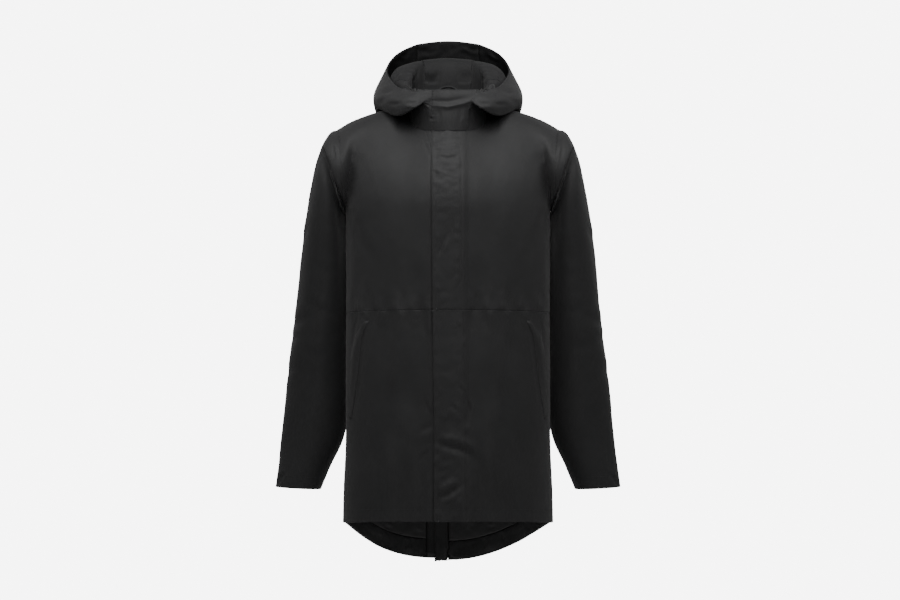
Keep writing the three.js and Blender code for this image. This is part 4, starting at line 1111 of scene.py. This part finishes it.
def carryingSide(wall, walls):
    # the side of its carriers that a piece lies on
    sample = wall.points[:: max(1, len(wall.points) // carriedValues["samples"])]
    distance = [0.0, 0.0]
    for kind in (outerFace, innerFace):
        surfaces = [wallSurface(w, kind, w.before) for w in walls]
        distance[kind] = sum(nearestOn(surfaces, Vector(p))[3] for p in sample)
    return outerFace if distance[outerFace] < distance[innerFace] else innerFace


def followedShift(wall, walls):
    # each point moves as the nearest points of its carrier do
    shift = np.zeros_like(wall.points)
    for i, point in enumerate(wall.points):
        carrier = min(walls, key=lambda w: w.tree.find(point)[2])
        found = carrier.tree.find_n(point, carriedValues["neighbours"])
        weights = [1 / (distance + carriedValues["evenOut"]) ** 2 for _, _, distance in found]
        moved = sum(carrier.shift[vertex] * weight for (_, vertex, _), weight in zip(found, weights))
        shift[i] = moved / sum(weights)
    return shift


def clothRoom(wall, stem, gap, settled):
    # how far each point stays clear of the carrier, and how thick the cloth is there
    ids = wall.outerIds
    clear, thick = np.full(len(wall.points), gap), np.zeros(len(wall.points))
    thick[ids] = wall.values.get("thickness", carriedValues["thickness"])
    if settled:  # a welt: its free edge stands up, and its far edge runs into the cloth
        fromEdge = -np.abs(wall.before[ids, 0]) + np.interp(wall.before[ids, 2], weltEdge["z"], weltEdge["x"])
        standing = weltEdge["low"] + weltEdge["rise"] * smoothStep(fromEdge, -weltEdge["width"], 0.0)
        atEdge = np.exp(-((wall.edgeDistance[ids] / weltEdge["thinWithin"]) ** 2))
        thick[ids] *= standing * (1 - weltEdge["thin"] * atEdge)
    if stem == "hood_lining":  # its ends run out flat on the cloth
        inland, outerTree = wall.edgeDistance.copy(), treeOf(wall.before, ids)
        for vertex in np.setdiff1d(np.arange(len(wall.points)), ids):
            inland[vertex] = wall.edgeDistance[outerTree.find(wall.before[vertex])[1]]
        fade, end = smoothStep(inland, 0, carriedValues["runOut"]), carriedValues["endGap"]
        clear, thick = end + (gap - end) * fade, thick * (0.2 + 0.8 * fade)
    return clear + thick


def layOn(wall, after, room, stem, settled):
    # lifts what would sink into the carrier, and lets a lining settle on it
    for i, point in enumerate(wall.points):
        spot, normal, _, distance = nearestOn(after, Vector(point))
        short = room[i] - (Vector(point) - spot).dot(normal)
        if short > 0 or settled:
            wall.points[i] += short * np.array(normal)
        elif stem == "hood_lining" and distance < carriedValues["settleFrom"]:
            wall.points[i] += max(short, -carriedValues["settle"]) * np.array(normal)


def makeCarried(name, names, crinkle=0.0, gap=carriedValues["gap"], creases=None, settled=False):
    # names: the pieces that carry it; crinkle: millimetres; settled: it touches them all over
    stem = stemOf(name)
    wall = smoothWall(name, pieceValues[stem])
    closeSeams(wall, wall.values["draw"] / 1000)
    walls = [carriers[n] for n in names]
    near = carryingSide(wall, walls)
    before = [wallSurface(w, near, w.before) for w in walls]
    after = [wallSurface(w, near, w.points) for w in walls]
    readWall(wall, lambda centres: np.array([c - np.array(nearestOn(before, Vector(c))[0]) for c in centres]))
    wall.before = wall.points.copy()
    wall.points = wall.points + followedShift(wall, walls)
    layOn(wall, after, clothRoom(wall, stem, gap, settled), stem, settled)
    ids = wall.outerIds
    lift = np.zeros(len(ids))
    if crinkle:
        ripple = softNoise(wall.before[ids], *carriedValues["coarse"])
        ripple += 0.5 * softNoise(wall.before[ids], *carriedValues["fine"])
        lift += crinkle * np.clip(0.45 + ripple, 0, 1.4) * smoothStep(wall.edgeDistance[ids], 0.0005, 0.006)
    if creases:
        lift += np.maximum(creaseHeight(seen(wall.before[ids]), creases) + carriedValues["creaseLift"], 0)
    wall.points[ids] += lift[:, None] / 1000 * wall.normals[ids]
    storeWall(wall, np.zeros(len(wall.points)), name + "Cloth")
    carriers[name] = wall
    wall.tree, wall.shift = treeOf(wall.before, ids), wall.points - wall.before


for side in ("centre", "left", "right"):
    pulls = panelPulls if side == "centre" else None
    makeCarried("hood_lining_" + side, ["hood_" + side], 0.12, creases=pulls)
    makeCarried("hood_facing_" + side, ["hood_" + side], 1.3, creases=brimCreases)
insideGap = 0.0011
for side in ("left", "right"):
    makeCarried("back_lining_" + side, ["back_" + side], 0.9, gap=insideGap, creases=hemCreases)
    makeCarried("hem_facing_" + side, ["back_" + side], 0.6, gap=insideGap, creases=hemCreases)
    makeCarried("pocket_welt_" + side, ["front_lower_" + side], gap=0.0001, settled=True)
makeCarried("vent_facing", ["back_right"], 0.3, gap=insideGap)
makeCarried("vent_flap", ["back_right", "vent_facing"], gap=0.0009)
makeCarried("zip_underlay", ["front_upper_right", "front_lower_right"])
makeCarried("hanger_loop", ["hood_centre"])
print("carried pieces ready")

# metres; sides and rings: how round a stitch is; uneven: shortest and longest share of the length
stitchValues = {
    "pitch": 0.0032, "length": 0.0025, "width": 0.0005, "lift": 0.00012, "seed": 7,
    "sides": 5, "rings": 3, "uneven": (0.85, 1.08),
}


def contourLine(wall, field, level, keep):
    # the line on the outer face where a field passes a level, as points and the pairs that join them
    spots, lines, found = [], [], {}
    corners = field[wall.outerQuads]
    crossed = (corners.min(axis=1) < level) & (corners.max(axis=1) >= level)
    centres = wall.before[wall.outerQuads].mean(axis=1)
    for quad in wall.outerQuads[crossed & keep(centres)]:
        ends = []
        for a, b in zip(quad, np.roll(quad, -1)):
            if (field[a] < level) == (field[b] < level):
                continue
            key = (min(a, b), max(a, b))
            if key not in found:
                t = (level - field[a]) / (field[b] - field[a])
                found[key] = len(spots)
                normal = wall.normals[a] * (1 - t) + wall.normals[b] * t
                spots.append(wall.points[a] * (1 - t) + wall.points[b] * t + stitchValues["lift"] * normal)
            ends.append(found[key])
        if len(ends) == 2:
            lines.append(ends)
    return spots, lines


def stitchTree(values):
    tree = bpy.data.node_groups.new("stitchRows", "GeometryNodeTree")
    tree.interface.new_socket("Geometry", in_out="INPUT", socket_type="NodeSocketGeometry")
    for label in ("Pitch", "Length", "Width"):
        tree.interface.new_socket(label, in_out="INPUT", socket_type="NodeSocketFloat")
    tree.interface.new_socket("Geometry", in_out="OUTPUT", socket_type="NodeSocketGeometry")
    nodes = tree.nodes
    start, end = nodes.new("NodeGroupInput"), nodes.new("NodeGroupOutput")
    rows = nodes.new("GeometryNodeMeshToCurve")
    spaced = nodes.new("GeometryNodeResampleCurve")
    spaced.mode = "LENGTH"
    tangent = nodes.new("GeometryNodeInputTangent")
    turned = nodes.new("FunctionNodeAlignRotationToVector")
    turned.axis = "X"
    bead = nodes.new("GeometryNodeMeshUVSphere")
    bead.inputs["Segments"].default_value = values["sides"]
    bead.inputs["Rings"].default_value = values["rings"]
    bead.inputs["Radius"].default_value = 0.5
    uneven = nodes.new("FunctionNodeRandomValue")
    uneven.data_type = "FLOAT"
    floats = [socket for socket in uneven.inputs if socket.type == "VALUE" and socket.name in ("Min", "Max")]
    floats[0].default_value, floats[1].default_value = values["uneven"]
    uneven.inputs["Seed"].default_value = values["seed"]
    drawn = nodes.new("ShaderNodeMath")
    drawn.operation = "MULTIPLY"
    size = nodes.new("ShaderNodeCombineXYZ")
    placed = nodes.new("GeometryNodeInstanceOnPoints")
    real = nodes.new("GeometryNodeRealizeInstances")
    dyed = nodes.new("GeometryNodeSetMaterial")
    dyed.inputs["Material"].default_value = cloths["sewingThread"]
    for source, target in (
        (start.outputs["Geometry"], rows.inputs["Mesh"]),
        (rows.outputs["Curve"], spaced.inputs["Curve"]),
        (start.outputs["Pitch"], spaced.inputs["Length"]),
        (tangent.outputs["Tangent"], turned.inputs["Vector"]),
        (spaced.outputs["Curve"], placed.inputs["Points"]),
        (bead.outputs["Mesh"], placed.inputs["Instance"]),
        (turned.outputs["Rotation"], placed.inputs["Rotation"]),
        (start.outputs["Length"], drawn.inputs[0]),
        (next(s for s in uneven.outputs if s.type == "VALUE" and s.enabled), drawn.inputs[1]),
        (drawn.outputs[0], size.inputs["X"]),
        (start.outputs["Width"], size.inputs["Y"]),
        (start.outputs["Width"], size.inputs["Z"]),
        (size.outputs["Vector"], placed.inputs["Scale"]),
        (placed.outputs["Instances"], real.inputs["Geometry"]),
        (real.outputs["Geometry"], dyed.inputs["Geometry"]),
        (dyed.outputs["Geometry"], end.inputs["Geometry"]),
    ):
        tree.links.new(source, target)
    return tree


def makeStitches(rows, values):
    spots, lines = [], []
    for rowSpots, rowLines in rows:
        lines += [(a + len(spots), b + len(spots)) for a, b in rowLines]
        spots += rowSpots
    mesh = bpy.data.meshes.new("stitchPaths")
    mesh.from_pydata([tuple(p) for p in spots], lines, [])
    paths = bpy.data.objects.new("stitchPaths", mesh)
    bpy.context.scene.collection.objects.link(paths)
    sewing = paths.modifiers.new("sewing", "NODES")
    sewing.node_group = stitchTree(values)
    for item in sewing.node_group.interface.items_tree:
        if item.in_out == "INPUT" and item.name in ("Pitch", "Length", "Width"):
            sewing[item.identifier] = values[item.name.lower()]
    paths.update_tag()
    sewn = bpy.data.meshes.new_from_object(paths.evaluated_get(bpy.context.evaluated_depsgraph_get()))
    paths.modifiers.remove(sewing)
    bpy.data.objects.remove(paths)
    sewn.polygons.foreach_set("use_smooth", np.ones(len(sewn.polygons), dtype=bool))
    stitches = bpy.data.objects.new("seamStitches", sewn)
    bpy.context.scene.collection.objects.link(stitches)
    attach(stitches, "root")
    return stitches


# where the stitches run: distances from an edge and heights, in metres
sewingValues = {
    "waist": 0.0020, "upper": 0.0018, "welt": 0.0016, "hood": 0.0020, "facing": 0.0016, "flap": 0.0020,
    "waistZ": -0.409, "chestZ": -0.215, "offCentre": 0.02, "turnUp": 0.024,
    "hemZ": 0.8047, "hemDrop": 0.0083, "hemHalf": 0.206,  # the curve of the front hem
    "cuffZ": 0.747, "cuffDrop": 0.005, "cuffX": 0.3395, "cuffWidth": 0.09,
    # rows beside the fly: piece, its lowest and highest point, and x there in millimetres
    "flyRows": (
        ("front_upper_left", (-0.345, -0.09), (25, 25)),
        ("front_lower_left", (-0.811, -0.404), (35, 31)),
    ),
}


def everywhere(centres):
    return np.ones(len(centres), dtype=bool)


def besideWaist(centres):
    return centres[:, 2] > sewingValues["waistZ"]


def aboveChest(centres):
    return centres[:, 2] > sewingValues["chestZ"]


def offCentre(centres):
    return aboveChest(centres) & (np.abs(centres[:, 0]) > sewingValues["offCentre"])


def stitchRows():
    rows, sewn = [], sewingValues

    def alongEdge(name, inset, keep=everywhere):
        rows.append(contourLine(carriers[name], carriers[name].edgeDistance, inset, keep))

    for side in ("left", "right"):
        alongEdge("front_lower_" + side, sewn["waist"], besideWaist)
        alongEdge("front_upper_" + side, sewn["upper"], aboveChest)
        alongEdge("back_" + side, sewn["upper"], offCentre)
        lower, sleeve = carriers["front_lower_" + side], carriers["sleeve_" + side]
        across = np.abs(lower.before[:, 0] / sewn["hemHalf"]) ** 4
        hem = lower.before[:, 2] + sewn["hemZ"] + sewn["hemDrop"] * across
        rows.append(contourLine(lower, hem, sewn["turnUp"], everywhere))
        slope = sewn["cuffDrop"] * (sewn["cuffX"] - np.abs(sleeve.before[:, 0])) / sewn["cuffWidth"]
        cuff = sleeve.before[:, 2] + sewn["cuffZ"] + slope
        rows.append(contourLine(sleeve, cuff, sewn["turnUp"], everywhere))
        alongEdge("pocket_welt_" + side, sewn["welt"])
        alongEdge("hood_" + side, sewn["hood"])
        alongEdge("hem_facing_" + side, sewn["facing"])
    alongEdge("hood_centre", sewn["hood"])
    alongEdge("vent_flap", sewn["flap"])
    for name, z, x in sewn["flyRows"]:
        wall = carriers[name]
        view = seen(wall.before)
        beside = view[:, 0] - np.interp(view[:, 1] / 1000, z, x)

        def onFront(centres):
            return (centres[:, 2] > z[0]) & (centres[:, 2] < z[1]) & (centres[:, 1] < 0)
        rows.append(contourLine(wall, beside, 0.0, onFront))
    return rows


stitches = makeStitches(stitchRows(), stitchValues)
print("stitches", len(stitches.data.polygons), "faces")
shownPieces = [piece for piece in bpy.data.objects if piece.name.endswith("Cloth") or piece is stitches]
shownTriangles = sum(len(face.vertices) - 2 for piece in shownPieces for face in piece.data.polygons)
print("all pieces", shownTriangles, "triangles")
